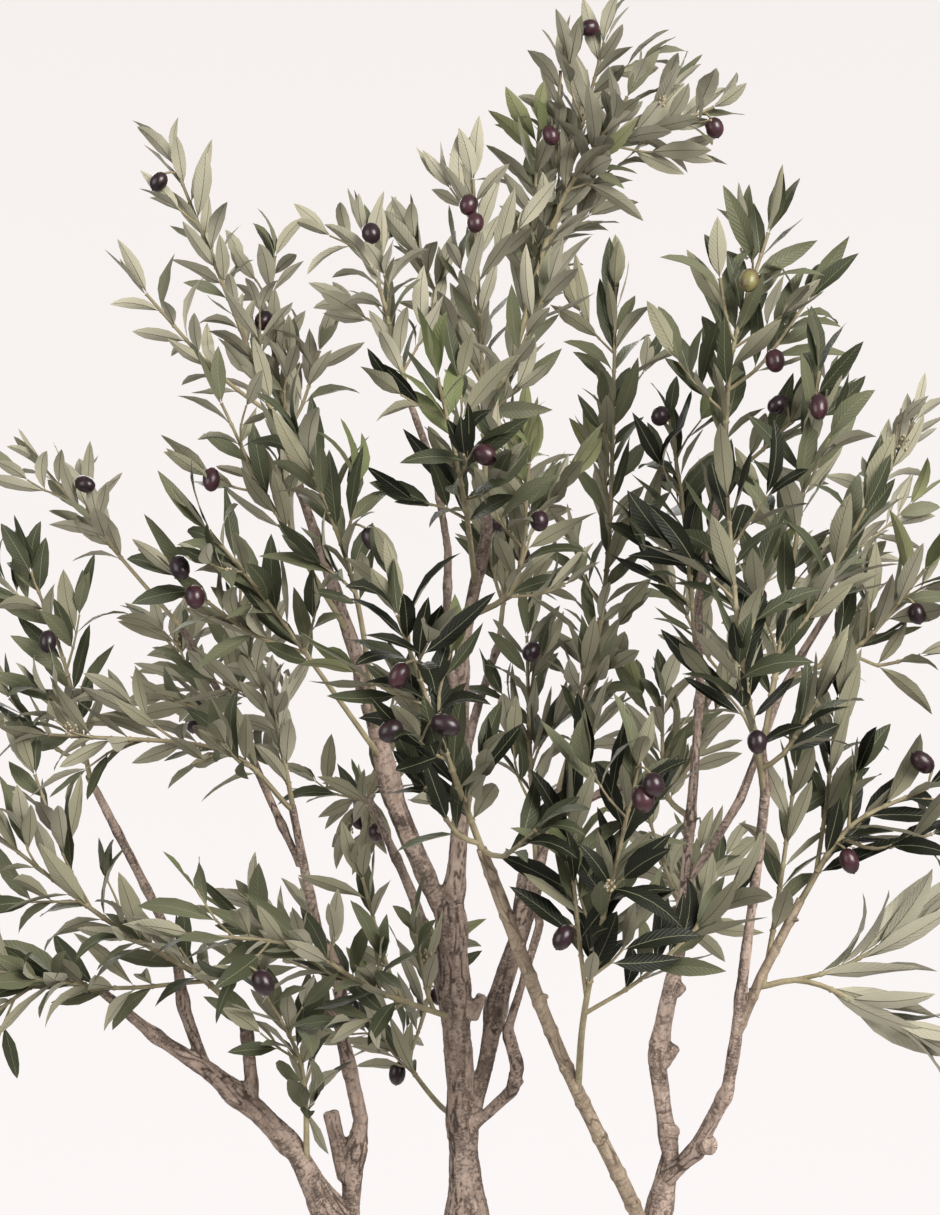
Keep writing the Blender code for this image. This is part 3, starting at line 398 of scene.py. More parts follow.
# sprays: a kind, a limb, the share along it, the stem's bends, side shoots as a share of the stem and
# a tip, how far leaves may reach, the bare share of the stem, its twigs, and where olives hang
sprayTable = {
    "foliage_crown_top": ("plume", "leader", 1.0, [(0.090, 0.085, 1.90), (0.134, 0.06, 2.062)],
        [(0.35, (0.092, 0.05, 2.030)), (0.10, (0.070, 0.05, 1.975)), (0.50, (0.152, 0.03, 2.000))],
        0.098, 0.06, 4,
        [(0.122, 0.06, 2.09), (0.085, 0.02, 1.97)]),
    "foliage_crown_top_right": ("plume", "leader", 0.90, [(0.110, 0.055, 1.94), (0.232, 0.02, 1.994)], [],
        0.080, 0.52, 3, [(0.247, 0.03, 1.98)]),
    "foliage_up_mid": ("silver", "leader", 0.68, [(0.010, 0.01, 1.78), (0.004, -0.01, 1.905)],
        [(0.40, (-0.050, 0.01, 1.85)), (0.32, (0.072, -0.03, 1.80))], 0.090, 0.20, 3,
        [(0.0, -0.02, 1.89), (0.005, -0.04, 1.87)]),
    "foliage_up_mid_left": ("silver", "leader_left", 1.0, [(-0.082, -0.02, 1.785), (-0.100, -0.02, 1.85)],
        [], 0.080, 0.10, 3, [(-0.099, -0.03, 1.86)]),
    "foliage_centre_up_front": ("deep", "leader", 0.56, [(-0.006, -0.12, 1.60), (-0.026, -0.17, 1.69)], [],
        0.080, 0.40, 3, [(0.002, -0.17, 1.63)]),
    "foliage_centre_up_right": ("sage", "leader", 0.50, [(0.045, -0.02, 1.52), (0.056, -0.05, 1.62)], [],
        0.085, 0.20, 3, [(0.068, -0.08, 1.573)]),
    "foliage_centre_front": ("deep", "front_stem", 1.0, [(-0.020, -0.28, 1.37), (-0.055, -0.33, 1.475)],
        [(0.05, (-0.030, -0.275, 1.33)), (0.02, (0.046, -0.270, 1.296))], 0.095, 0.08, 4,
        [(-0.058, -0.34, 1.44), (-0.018, -0.33, 1.40), (-0.074, -0.34, 1.398)]),
    "foliage_centre_left_front": ("green", "left_fork", 0.42,
        [(-0.110, -0.12, 1.52), (-0.150, -0.17, 1.635)], [],
        0.072, 0.46, 2, [(-0.088, -0.16, 1.557)]),
    "foliage_up_left": ("silver", "left_fork", 1.0, [(-0.235, 0.05, 1.78), (-0.297, 0.05, 1.935)],
        [(0.15, (-0.313, 0, 1.797))], 0.082, 0.14, 2, [(-0.318, 0.05, 1.93)]),
    "foliage_up_left_inner": ("silver", "left_fork", 0.90, [(-0.208, 0.09, 1.78), (-0.206, 0.10, 1.85)],
        [(0.30, (-0.160, 0.06, 1.745))], 0.078, 0.25, 2, [(-0.212, 0.08, 1.79)]),
    "foliage_left_mid": ("green", "left_fork", 0.36, [(-0.180, -0.10, 1.485), (-0.232, -0.14, 1.555)],
        [(0.50, (-0.262, -0.13, 1.515))],
        0.086, 0.42, 2, [(-0.264, -0.16, 1.532), (-0.252, -0.15, 1.505)]),
    "foliage_left_up": ("pale", "left_fork", 0.62, [(-0.200, -0.03, 1.605), (-0.235, -0.05, 1.68)], [],
        0.085, 0.35, 2, [(-0.250, -0.05, 1.62)]),
    "foliage_far_left_high": ("silver", "left_branch", 1.0, [(-0.365, 0.10, 1.545), (-0.436, 0.10, 1.628)],
        [], 0.080, 0.38, 2, [(-0.400, 0.09, 1.625)]),
    "foliage_mid_left": ("silver", "second_stem", 0.90, [(-0.195, 0.04, 1.36), (-0.225, 0.08, 1.43)], [],
        0.090, 0.25, 3, []),
    "foliage_left_arm": ("pale", "second_stem", 1.0, [(-0.245, -0.03, 1.355), (-0.380, -0.12, 1.375)], [],
        0.078, 0.15, 3, []),
    "foliage_far_left_front": ("green", "left_upper", 1.0, [(-0.393, -0.05, 1.435), (-0.415, -0.08, 1.515)],
        [(0.08, (-0.440, -0.04, 1.395))], 0.082, 0.12, 2,
        [(-0.400, -0.10, 1.459), (-0.436, -0.05, 1.365)]),
    "foliage_left_low": ("sage", "socket_stub", 1.0,
        [(-0.255, -0.10, 1.145), (-0.335, -0.14, 1.205), (-0.422, -0.15, 1.275)],
        [(0.22, (-0.422, -0.18, 1.165)), (0.65, (-0.400, -0.13, 1.325))], 0.068, 0.14, 3, []),
    "foliage_left_low_fan": ("sage", "left_limb", 1.0, [(-0.385, -0.155, 1.155), (-0.420, -0.18, 1.135)],
        [], 0.085, 0.05, 2, []),
    "foliage_low_front": ("sage", "trunk", 0.88,
        [(-0.095, -0.10, 1.135), (-0.157, -0.16, 1.185), (-0.235, -0.22, 1.205)],
        [(0.25, (-0.098, -0.10, 1.225)), (0.10, (-0.050, -0.06, 1.165))],
        0.080, 0.18, 4, [(-0.172, -0.24, 1.165)]),
    "foliage_low_left": ("sage", "left_limb", 0.50, [(-0.162, -0.075, 1.055), (-0.190, -0.11, 1.125)], [],
        0.084, 0.24, 3, []),
    "foliage_inner_low": ("silver", "second_stem", 0.60, [(-0.165, 0.05, 1.135), (-0.205, 0.09, 1.165)], [],
        0.080, 0.10, 3, [(-0.095, 0.05, 1.05)]),
    "foliage_back_left": ("back", "left_back", 1.0, [(-0.135, 0.30, 1.275), (-0.130, 0.36, 1.255)],
        [(0.12, (-0.085, 0.175, 1.390))], 0.105, 0.05, 3, []),
    "foliage_back_low": ("back", "trunk", 0.78, [(-0.040, 0.12, 0.975), (-0.135, 0.28, 1.06)],
        [(0.55, (-0.035, 0.235, 1.110))], 0.105, 0.45, 3, []),
    "foliage_back_far_left": ("back", "left_branch", 0.45, [(-0.290, 0.20, 1.395), (-0.350, 0.29, 1.46)],
        [(0.25, (-0.255, 0.205, 1.500))], 0.100, 0.25, 3, []),
    "foliage_back_high": ("back", "back_mid", 1.0, [(0.045, 0.28, 1.56), (0.060, 0.30, 1.68)],
        [(0.20, (0.015, 0.190, 1.590))], 0.105, 0.15, 3, [(0.10, 0.32, 1.62)]),
    "foliage_back_right": ("back", "back_right", 1.0, [(0.325, 0.31, 1.46), (0.350, 0.34, 1.54)],
        [(0.15, (0.235, 0.215, 1.500))], 0.105, 0.10, 3, []),
    "foliage_back_far_right": ("back", "right_limb", 0.56, [(0.235, 0.12, 1.15), (0.262, 0.28, 1.21)],
        [(0.50, (0.190, 0.215, 1.290))], 0.105, 0.40, 3, []),
    "foliage_centre_mid": ("sage", "centre_right", 0.76, [(0.062, 0.060, 1.34), (0.060, 0.09, 1.45)], [],
        0.078, 0.20, 3, [(0.055, 0.02, 1.455)]),
    "foliage_centre_tall": ("sage", "centre_right", 1.0,
        [(0.122, 0.045, 1.42), (0.143, 0.06, 1.56), (0.150, 0.06, 1.81)],
        [(0.10, (0.112, 0.00, 1.42)), (0.02, (0.118, -0.02, 1.362))], 0.076, 0.05, 5, []),
    "foliage_front_right": ("mixed", "front_stem", 0.42, [(0.105, -0.21, 1.155), (0.140, -0.28, 1.345)],
        [(0.30, (0.220, -0.19, 1.224)), (0.35, (0.086, -0.26, 1.298))], 0.088, 0.36, 3,
        [(0.145, -0.30, 1.335), (0.155, -0.31, 1.345), (0.085, -0.24, 1.21)]),
    "foliage_inner_right": ("sage", "right_limb", 0.66, [(0.200, 0.05, 1.31), (0.200, 0.07, 1.388)],
        [(0.40, (0.245, 0.05, 1.375))], 0.078, 0.25, 2, []),
    "foliage_right_shoulder": ("deep", "right_limb", 0.78, [(0.216, 0.01, 1.58), (0.203, 0.01, 1.668)], [],
        0.085, 0.25, 3, [(0.192, 0, 1.685)]),
    "foliage_right_top": ("green", "right_limb", 1.0, [(0.250, -0.09, 1.74), (0.278, -0.10, 1.835)],
        [(0.35, (0.312, -0.09, 1.775)), (0.05, (0.292, -0.10, 1.66)), (0.55, (0.238, -0.11, 1.79))],
        0.082, 0.08, 2,
        [(0.260, -0.12, 1.80), (0.290, -0.14, 1.72), (0.268, -0.14, 1.70)]),
    "foliage_right_front_up": ("green", "right_front", 1.0, [(0.290, -0.18, 1.52), (0.316, -0.17, 1.695)],
        [(0.25, (0.346, -0.20, 1.570))], 0.084, 0.10, 3, [(0.312, -0.19, 1.675)]),
    "foliage_right_front_low": ("deep", "right_front", 0.90, [(0.235, -0.25, 1.46), (0.225, -0.25, 1.575)],
        [(0.10, (0.296, -0.23, 1.40))], 0.100, 0.12, 3, [(0.248, -0.26, 1.37)]),
    "foliage_far_right_high": ("silver", "far_right", 1.0, [(0.415, 0.06, 1.60), (0.456, 0.08, 1.675)], [],
        0.070, 0.15, 2, []),
    "foliage_far_right": ("sage", "far_right", 0.72, [(0.385, -0.03, 1.46), (0.430, -0.06, 1.52)],
        [(0.40, (0.425, -0.04, 1.445)), (0.20, (0.376, -0.01, 1.505))],
        0.086, 0.10, 2, [(0.43, -0.06, 1.49)]),
    "foliage_far_right_low": ("deep", "right_arm", 1.0, [(0.345, -0.17, 1.295), (0.400, -0.18, 1.325)],
        [(0.2, (0.345, -0.11, 1.395)), (0.45, (0.405, -0.17, 1.285))], 0.085, 0.12, 2,
        [(0.340, -0.17, 1.27), (0.402, -0.16, 1.385)]),
    "foliage_low_right_hang": ("hanging", "right_arm", 0.35, [(0.316, -0.15, 1.150), (0.390, -0.16, 1.114)],
        [(0.12, (0.402, -0.14, 1.196)), (0.04, (0.298, -0.15, 1.33))], 0.090, 0.34, 0, []),
}
sprayParts = ("kind", "limb", "share", "bends", "shoots", "reach", "bare", "twigs", "olives")
masses = {name: dict(zip(sprayParts, row)) for name, row in sprayTable.items()}

# paths, as points of x, y, z and radius

def smoothPath(bends, spacing):
    ends = [2 * bends[0] - bends[1], *bends, 2 * bends[-1] - bends[-2]]
    points = []
    for before, start, end, after in zip(ends, ends[1:], ends[2:], ends[3:]):
        steps = max(1, round((end - start).length / spacing))
        for step in range(steps):
            t = step / steps
            straight = 2 * start + (end - before) * t
            square = (2 * before - 5 * start + 4 * end - after) * t**2
            cube = (3 * start - before - 3 * end + after) * t**3
            points.append((straight + square + cube) / 2)
    points.append(bends[-1].copy())
    return points


def taperedPath(bends, firstRadius, lastRadius, spacing):
    lengths = [0.0]
    for start, end in zip(bends, bends[1:]):
        lengths.append(lengths[-1] + (end - start).length)
    fall = lastRadius - firstRadius
    radii = [firstRadius + fall * length / lengths[-1] for length in lengths]
    return smoothPath([Vector((*bend, radius)) for bend, radius in zip(bends, radii)], spacing)


def pathLength(path):
    return sum((end.xyz - start.xyz).length for start, end in zip(path, path[1:]))


def placeAt(path, share):
    steps = [(end.xyz - start.xyz).length for start, end in zip(path, path[1:])]
    left = share * sum(steps)
    for start, end, step in zip(path, path[1:], steps):
        if left <= step:
            break
        left -= step
    else:
        left = step
    here = start.lerp(end, min(1, left / step))
    return here.xyz, here.w, (end.xyz - start.xyz).normalized()


def across(direction, turn):
    first = direction.orthogonal().normalized()
    return first * math.cos(turn) + direction.cross(first) * math.sin(turn)


def framesAlong(points):
    # a direction and two square ones at each point, carried along without twist
    frames = []
    normal = (points[1] - points[0]).orthogonal().normalized()
    for number in range(len(points)):
        before = points[max(0, number - 1)]
        after = points[min(len(points) - 1, number + 1)]
        along = (after - before).normalized()
        normal = (normal - along * normal.dot(along)).normalized()
        frames.append((along, normal, along.cross(normal)))
    return frames


def makeMesh(name, points, batches, slots=None, uvs=None, materials=()):
    # a mesh object from arrays: every batch of faces has one count of corners
    mesh = bpy.data.meshes.new(name)
    corners = np.concatenate([faces.ravel() for faces in batches])
    counts = np.concatenate([np.full(len(faces), faces.shape[1]) for faces in batches])
    mesh.vertices.add(len(points))
    mesh.vertices.foreach_set("co", np.asarray(points, dtype=np.float32).ravel())
    mesh.loops.add(len(corners))
    mesh.loops.foreach_set("vertex_index", corners.astype(np.int32))
    mesh.polygons.add(len(counts))
    starts = np.concatenate([[0], np.cumsum(counts)[:-1]])
    mesh.polygons.foreach_set("loop_start", starts.astype(np.int32))
    for material in materials:
        mesh.materials.append(material)
    if slots is not None:
        mesh.polygons.foreach_set("material_index", slots.astype(np.int32))
    if uvs is not None:
        layer = mesh.uv_layers.new(name="blade")
        layer.uv.foreach_set("vector", uvs[corners].astype(np.float32).ravel())
    mesh.update(calc_edges=True)
    mesh.validate()
    obj = bpy.data.objects.new(name, mesh)
    scene.collection.objects.link(obj)
    return obj


# the limbs' own paths, a little uneven in thickness
limbSpacing = 0.055
uneven = 0.09
limbPaths = {}
for name, (carrier, bends) in limbs.items():
    chance = random.Random(name)
    path = smoothPath([Vector(bend) for bend in bends], limbSpacing)
    for bend in path[1:-1]:
        bend.w *= 1 + chance.uniform(-uneven, uneven)
    limbPaths[name] = path


# bark: limbs swept as curves, joined and remeshed in three groups, then given their relief

barkSettings = {
    "spacing": 0.005, "knotGap": 0.095, "knotRise": 0.34, "knotsStop": 0.02, "rootFlare": 0.30,
    "fissure": 0.0014, "wrinkle": 0.0006, "plates": 0.00055, "lumps": 0.110,
    "smoothing": 3, "relief": 1.0, "stubTaper": 0.94,
    # how large each kind of relief is, across a limb and along it
    "sizes": {
        "warp": (0.012, 0.03), "patches": (0.034, 0.07), "fissures": (0.0058, 0.034),
        "wrinkles": (0.016, 0.0056), "plates": (0.0034, 0.006), "lumps": (0.022, 0.035)},
    "groups": {
        "trunk_and_forks": {"voxel": 0.00205, "finish": "bark", "limbs": [
            "trunk", "leader", "left_fork", "leader_left", "centre_right", "knee_branch",
            "left_back", "back_right", "back_mid"]},
        "left_boughs": {"voxel": 0.0014, "finish": "bark", "limbs": [
            "left_limb", "left_upper", "second_stem", "left_branch", "socket_stub"]},
        # the right boughs wear the lighter bark copy, painted light
        "right_boughs": {"voxel": 0.0014, "finish": "paintedLightBark", "limbs": [
            "right_limb", "right_front", "far_right"]},
    },
    # cut stubs: the limb that carries each, its foot, its cut end and its radius
    "stubs": [
        ("trunk", (0.002, -0.004, 1.085), (0.012, -0.008, 1.110), 0.0062),
        ("centre_right", (0.050, 0.028, 1.180), (0.056, 0.030, 1.226), 0.0086),
        ("centre_right", (0.026, 0.014, 1.076), (0.029, 0.003, 1.074), 0.0070),
        ("knee_branch", (0.042, -0.018, 1.030), (0.050, -0.024, 1.024), 0.0060),
        ("left_fork", (-0.104, 0.015, 1.415), (-0.112, 0.010, 1.440), 0.0090),
        ("left_limb", (-0.118, -0.026, 0.870), (-0.115, -0.040, 0.880), 0.0080),
        ("second_stem", (-0.124, 0.000, 0.925), (-0.139, -0.004, 0.992), 0.0088),
        ("second_stem", (-0.130, 0.008, 1.078), (-0.156, 0.000, 1.104), 0.0048),
        ("right_limb", (0.188, -0.052, 1.052), (0.199, -0.056, 1.070), 0.0068),
        ("right_limb", (0.200, -0.049, 1.120), (0.206, -0.054, 1.128), 0.0062),
        ("right_limb", (0.200, -0.055, 0.985), (0.189, -0.062, 0.990), 0.0070),
        ("right_front", (0.224, -0.088, 0.983), (0.229, -0.096, 0.984), 0.0094),
    ],
}


def sweepCurve(name, path, sides=12):
    curve = bpy.data.curves.new(name, "CURVE")
    curve.dimensions = "3D"
    curve.bevel_depth = 1
    curve.bevel_resolution = sides // 2 - 2
    curve.use_fill_caps = True
    spline = curve.splines.new("POLY")
    spline.points.add(len(path) - 1)
    for point, bend in zip(spline.points, path):
        point.co = (*bend.xyz, 1)
        point.radius = bend.w
    swept = bpy.data.objects.new(name, curve)
    scene.collection.objects.link(swept)
    return swept


def swollenPath(base, spacing, swell):
    # the same path with closer points, each radius grown by swell(distance, radius)
    total = pathLength(base)
    steps = max(4, round(total / spacing))
    path = []
    for step in range(steps + 1):
        place, radius, _ = placeAt(base, step / steps)
        path.append(Vector((*place, radius * swell(total * step / steps, radius))))
    return path


def knottedPath(name):
    # knots where sprays were once plugged in, and a flare where the limb leaves another
    chance = random.Random(name + " knots")
    total = pathLength(limbPaths[name])
    knots = []
    far = chance.uniform(0.3, 0.9) * barkSettings["knotGap"]
    while far < total - barkSettings["knotsStop"]:
        knots.append((far, chance.uniform(0.4, 1.0) * barkSettings["knotRise"]))
        far += barkSettings["knotGap"] * chance.uniform(0.6, 1.5)

    def swell(far, radius):
        grown = 1.0
        for centre, rise in knots:
            near = (far - centre) / (1.1 * radius + 0.003)
            grown += rise * math.exp(-near ** 2) * min(1, 0.013 / radius)
        if limbs[name][0]:
            grown += barkSettings["rootFlare"] * math.exp(-far / (1.4 * radius))
        return grown

    return swollenPath(limbPaths[name], barkSettings["spacing"], swell)


def barkHeight(x, y, far, radius):
    # how far the bark stands out, and how deep in a fissure this place lies
    def grain(kind, shiftX, shiftY, shiftFar):
        wide, long = barkSettings["sizes"][kind]
        return noise.noise(Vector((x / wide + shiftX, y / wide + shiftY, far / long + shiftFar)))

    warp = grain("warp", 0, 0, 0) * 0.45
    cracked = min(1.0, max(0.0, 0.62 + grain("patches", 20, 0, 0) * 1.9))
    fissure = max(0.0, 1 - abs(grain("fissures", warp, -warp, warp)) * 7.5) * cracked
    wrinkle = max(0.0, 1 - abs(grain("wrinkles", 9, 0, warp)) * 10.0) * (1.15 - cracked)
    plates = grain("plates", 0, 0, 5)
    lumps = grain("lumps", 0, 0, 3)
    size = min(1.0, (radius / 0.016) ** 0.8)
    height = lumps * barkSettings["lumps"] * radius
    height += size * (plates * barkSettings["plates"] - fissure**1.5 * barkSettings["fissure"])
    height -= size * wrinkle * barkSettings["wrinkle"]
    return height, min(1.0, fissure + 0.5 * wrinkle)


def dressInBark(obj, paths, relief):
    # works out each point's place on the straightened limb, pushes it out, and keeps that place
    apart = 3.7  # between one limb's distances and the next's, so that their relief differs
    samples = []
    for number, path in enumerate(paths):
        points = [bend.xyz for bend in path]
        far = 0.0
        for index, (frameAt, point) in enumerate(zip(framesAlong(points), points)):
            if index:
                far += (point - points[index - 1]).length
            samples.append((point, frameAt, far + number * apart, path[index].w))
    tree = KDTree(len(samples))
    for index, sample in enumerate(samples):
        tree.insert(sample[0], index)
    tree.balance()
    mesh = obj.data
    normals = [vertex.normal.copy() for vertex in mesh.vertices]
    placed = []
    cracks = []
    for vertex, normal in zip(mesh.vertices, normals):
        best = min(tree.find_n(vertex.co, 4), key=lambda found: found[2] - samples[found[1]][3])
        point, (along, first, second), far, radius = samples[best[1]]
        offset = vertex.co - point
        far += offset.dot(along)
        sideways = Vector((offset.dot(first), offset.dot(second)))
        if sideways.length > 1e-6:
            sideways *= radius / sideways.length
        height, crack = barkHeight(sideways.x, sideways.y, far, radius)
        vertex.co += normal * height * relief
        placed.extend((sideways.x, sideways.y, far))
        cracks.append(crack)
    mesh.attributes.new("barkPlace", "FLOAT_VECTOR", "POINT").data.foreach_set("vector", placed)
    mesh.attributes.new("crack", "FLOAT", "POINT").data.foreach_set("value", cracks)


def modelBark(name, swept, paths, look, nodes):
    # joins swept curves, remeshes them as one body and dresses it
    pickOnly(*swept)
    bpy.ops.object.convert(target="MESH")
    bpy.ops.object.join()
    bark = bpy.context.object
    bark.name = bark.data.name = name
    applyModifier(bark, "REMESH", mode="VOXEL", voxel_size=look["voxel"])
    applyModifier(bark, "SMOOTH", factor=0.5, iterations=look["smoothing"])
    dressInBark(bark, paths, look["relief"])
    bark.data.materials.clear()
    bark.data.materials.append(barkFinishes[look["finish"]])
    pickOnly(bark)
    bpy.ops.object.shade_smooth()
    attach(bark, "root")
    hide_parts(*nodes)
    print("bark:", name, len(bark.data.polygons) * 2, "triangles")


knotted = {name: knottedPath(name) for name in limbs}
for groupName, group in barkSettings["groups"].items():
    paths = [knotted[name] for name in group["limbs"]]
    swept = [sweepCurve(name, knotted[name]) for name in group["limbs"]]
    for carrier, foot, end, radius in barkSettings["stubs"]:
        if carrier in group["limbs"]:
            ends = [Vector((*foot, radius)), Vector((*end, radius * barkSettings["stubTaper"]))]
            stub = smoothPath(ends, barkSettings["spacing"])
            swept.append(sweepCurve("stub", stub))
            paths.append(stub)
    modelBark(groupName, swept, paths, {**barkSettings, **group}, group["limbs"])


# long painted stems that carry foliage in front and on the right: smooth, with nodes and plug ends

stemSettings = {
    "spacing": 0.0022, "sides": 14, "firstNode": 0.012, "nodeGap": 0.034, "nodeRise": 0.16,
    "nodeLength": 0.003, "pegSpacing": 0.003, "pegSides": 8, "pegStandsOut": (0.003, 0.006),
    "voxel": 0.0009, "smoothing": 4, "relief": 0.45, "finish": "paintedStem",
}


def modelPaintedStem(name):
    chance = random.Random(name + " nodes")
    base = limbPaths[name]
    total = pathLength(base)
    nodes = []
    far = stemSettings["firstNode"]
    while far < total:
        nodes.append(far)
        far += stemSettings["nodeGap"] * chance.uniform(0.7, 1.4)

    def swell(far, _):
        near = min(abs(far - node) for node in nodes)
        return 1 + stemSettings["nodeRise"] * math.exp(-(near / stemSettings["nodeLength"]) ** 2)

    paths = [swollenPath(base, stemSettings["spacing"], swell)]
    swept = [sweepCurve(name, paths[0], stemSettings["sides"])]
    for node in nodes[1::2]:
        place, radius, along = placeAt(base, node / total)
        out = across(along, chance.uniform(0, math.tau)) * 0.8 + along * 0.6
        tip = place + out.normalized() * (radius + chance.uniform(*stemSettings["pegStandsOut"]))
        ends = [Vector((*place, radius * 0.5)), Vector((*tip, radius * 0.42))]
        peg = smoothPath(ends, stemSettings["pegSpacing"])
        swept.append(sweepCurve("peg", peg, stemSettings["pegSides"]))
        paths.append(peg)
    modelBark(name + "_painted", swept, paths, stemSettings, [name])


for name in ("front_stem", "right_arm"):
    modelPaintedStem(name)


# foliage: each spray's stem and twigs by the rule the solids follow, then finer, with leaves in pairs

foliage = {
    "stemRadius": 0.0034, "stemTip": 0.0016, "shareOfBough": 0.72, "inset": 0.006, "spacing": 0.012,
    "twigRadius": 0.0017, "twigTip": 0.0009, "twigLength": 0.080, "finer": 1.7, "onwards": 0.016,
    "twigsFrom": 0.12, "twigsTo": 0.92, "twigLeans": (28, 50), "tipTwigShare": 0.65, "twigBare": 0.16,
    "sag": 0.01, "nodeHalf": 0.0022, "nodeSwell": 1.38, "twigSides": 6,
    "leafAngles": (15, 57), "hangingAngles": (7, 30), "tipAngles": (4, 20), "lift": 0.10,
    "lengths": (0.72, 1.18), "widths": (0.84, 1.14), "tipLeaf": 0.86,
    "roll": 0.9, "ownSide": 0.5, "lightSide": 0.7, "upwards": 0.40,
    "missing": 0.12, "tries": 5, "youngShare": 0.10, "clearBefore": 0.11, "cell": 0.07,
}
# kinds of spray: gap between pairs, a leaf's length and width, the share that shows its underside,
# and two tones each for upper sides and undersides
silvery = (("sageTop", "greenTop"), ("silverUnder", "paleUnder"))
greenish = (("greenTop", "darkTop"), ("sageUnder", "paleUnder"))
sprayKinds = {
    "plume": {"gap": 0.0155, "leaf": (0.064, 0.0182), "over": 0.12, "tones": silvery},
    "silver": {"gap": 0.0178, "leaf": (0.064, 0.0168), "over": 0.12, "tones": silvery},
    "pale": {"gap": 0.0190, "leaf": (0.066, 0.0162), "over": 0.25, "tones": greenish},
    "back": {"gap": 0.0165, "leaf": (0.068, 0.0166), "over": 0.25, "tones": greenish},
    "sage": {"gap": 0.0185, "leaf": (0.069, 0.0170), "over": 0.40, "tones": greenish},
    "green": {"gap": 0.0175, "leaf": (0.072, 0.0180), "over": 0.22,
        "tones": (("darkTop", "greenTop"), ("sageUnder", "paleUnder"))},
    # deep and mixed sprays carry the tones darkened as painted shade: their darkest upper sides and their
    # grey undersides
    "deep": {"gap": 0.0180, "leaf": (0.073, 0.0180), "over": 0.16,
        "tones": (("shadedDeepTop", "darkTop"), ("shadedUnder", "sageUnder"))},
    "mixed": {"gap": 0.0180, "leaf": (0.073, 0.0180), "over": 0.16,
        "tones": (("shadedDeepTop", "greenTop"), ("shadedUnder", "sageUnder"))},
    "hanging": {"gap": 0.0215, "leaf": (0.096, 0.0215), "over": 0.10,
        "tones": (("sageTop", "sageTop"), ("silverUnder", "silverUnder"))},
}
youngTones = (("youngTop", "youngTop"), ("youngUnder", "youngUnder"))
oliveSettings = {
    "length": 0.0240, "width": 0.0182, "sides": 14, "reach": 0.026, "stalk": 0.0009, "spacing": 0.004,
    "profile": [(-0.5, 0), (-0.485, 0.14), (-0.43, 0.28), (-0.30, 0.43), (-0.13, 0.497), (0.06, 0.50),
        (0.24, 0.44), (0.38, 0.31), (0.455, 0.17), (0.475, 0.07), (0.505, 0.03), (0.52, 0)],
    "tones": {"oliveBlack": 9, "olivePurple": 6, "oliveTurning": 1},
    "backCount": 2, "forward": 0.010,
}
leafShape = {
    "along": (0.055, 0.18, 0.35, 0.54, 0.73, 0.89),
    "wide": (0.10, 0.56, 0.93, 1.0, 0.76, 0.38),
    "thick": 0.00045, "rib": 0.00032, "ribRise": 0.00022, "foot": 0.004, "widest": 0.45,
    "droop": (-0.40, 1.10), "sway": 0.34, "twist": 0.5, "fold": (0.06, 0.45), "wave": 0.13,
}


def twigPaths(stem, shoots, bare, count, chance):
    paths = []
    for share, tip in shoots:
        root, radius, _ = placeAt(stem, share)
        tip = Vector(tip)
        middle = root.lerp(tip, 0.5) - Vector((0, 0, foliage["sag"]))
        tip += (tip - middle).normalized() * foliage["onwards"]
        paths.append(taperedPath(
            [root, middle, tip], radius * 0.8, foliage["stemTip"], foliage["spacing"]))
    turn = chance.uniform(0, math.tau)
    start = max(bare, foliage["twigsFrom"])
    for number in range(count):
        share = start + (foliage["twigsTo"] - start) * (number + 0.5) / count
        root, radius, direction = placeAt(stem, share)
        lean = math.radians(chance.uniform(*foliage["twigLeans"]))
        out = across(direction, turn)
        first = direction * math.cos(lean) + out * math.sin(lean)
        shorter = 1 + (foliage["tipTwigShare"] - 1) * share
        length = foliage["twigLength"] * shorter * chance.uniform(0.75, 1.1)
        bend = across(direction, chance.uniform(0, math.tau)) * length * 0.08
        foot = min(foliage["twigRadius"], radius * 0.7)
        bends = [root, root + first * length * 0.5 + bend, root + first * length]
        paths.append(taperedPath(bends, foot, foliage["twigTip"], foliage["spacing"]))
        turn += goldenAngle
    return paths


def leafNodes(path, bare, gap):
    # shares along the path where pairs of leaves stand, closing up towards the tip
    length = pathLength(path)
    count = max(2, round(length * (1 - bare) / gap))
    return [1 - (1 - bare) * (step / count) ** 0.92 for step in range(count)]


def leafFrame(path, share, turn, facing, size, angles, attempt, chance):
    # a leaf's root, the way it points, the way it faces, its length and its width
    root, radius, direction = placeAt(path, share)
    lean = math.radians(chance.uniform(*(foliage["tipAngles"] if share == 1 else angles)))
    out = across(direction, turn + attempt * 0.5 + chance.uniform(-0.3, 0.3))
    along = direction * math.cos(lean) + out * math.sin(lean)
    along = (along + Vector((0, 0, foliage["lift"]))).normalized()
    own = direction * math.sin(lean) - out * math.cos(lean)
    face = own * foliage["ownSide"] + facing + across(along, turn) * chance.uniform(-1, 1) * foliage["roll"]
    face = (face - along * face.dot(along)).normalized()
    length = size[0] * chance.uniform(*foliage["lengths"]) * (foliage["tipLeaf"] if share > 0.97 else 1)
    width = size[1] * chance.uniform(*foliage["widths"]) * (length / size[0]) ** 0.5
    return root + out * radius * 0.7, along, face, length, width


def roughLeaf(root, along, face, length, width):
    # two triangles, enough to tell whether a leaf would cut anything
    side = along.cross(face) * width / 2
    middle = root + along * length * leafShape["widest"]
    corners = [root + along * leafShape["foot"], middle - side, middle + side, root + along * length]
    return BVHTree.FromPolygons(corners, [(0, 1, 2), (3, 2, 1)])


limbSolids = []
for name in limbs:
    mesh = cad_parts[name].data
    corners = [vertex.co.copy() for vertex in mesh.vertices]
    limbSolids.append(BVHTree.FromPolygons(corners, [tuple(face.vertices) for face in mesh.polygons]))
leafCells = {}


def cellOf(place):
    return tuple(round(value / foliage["cell"]) for value in place)


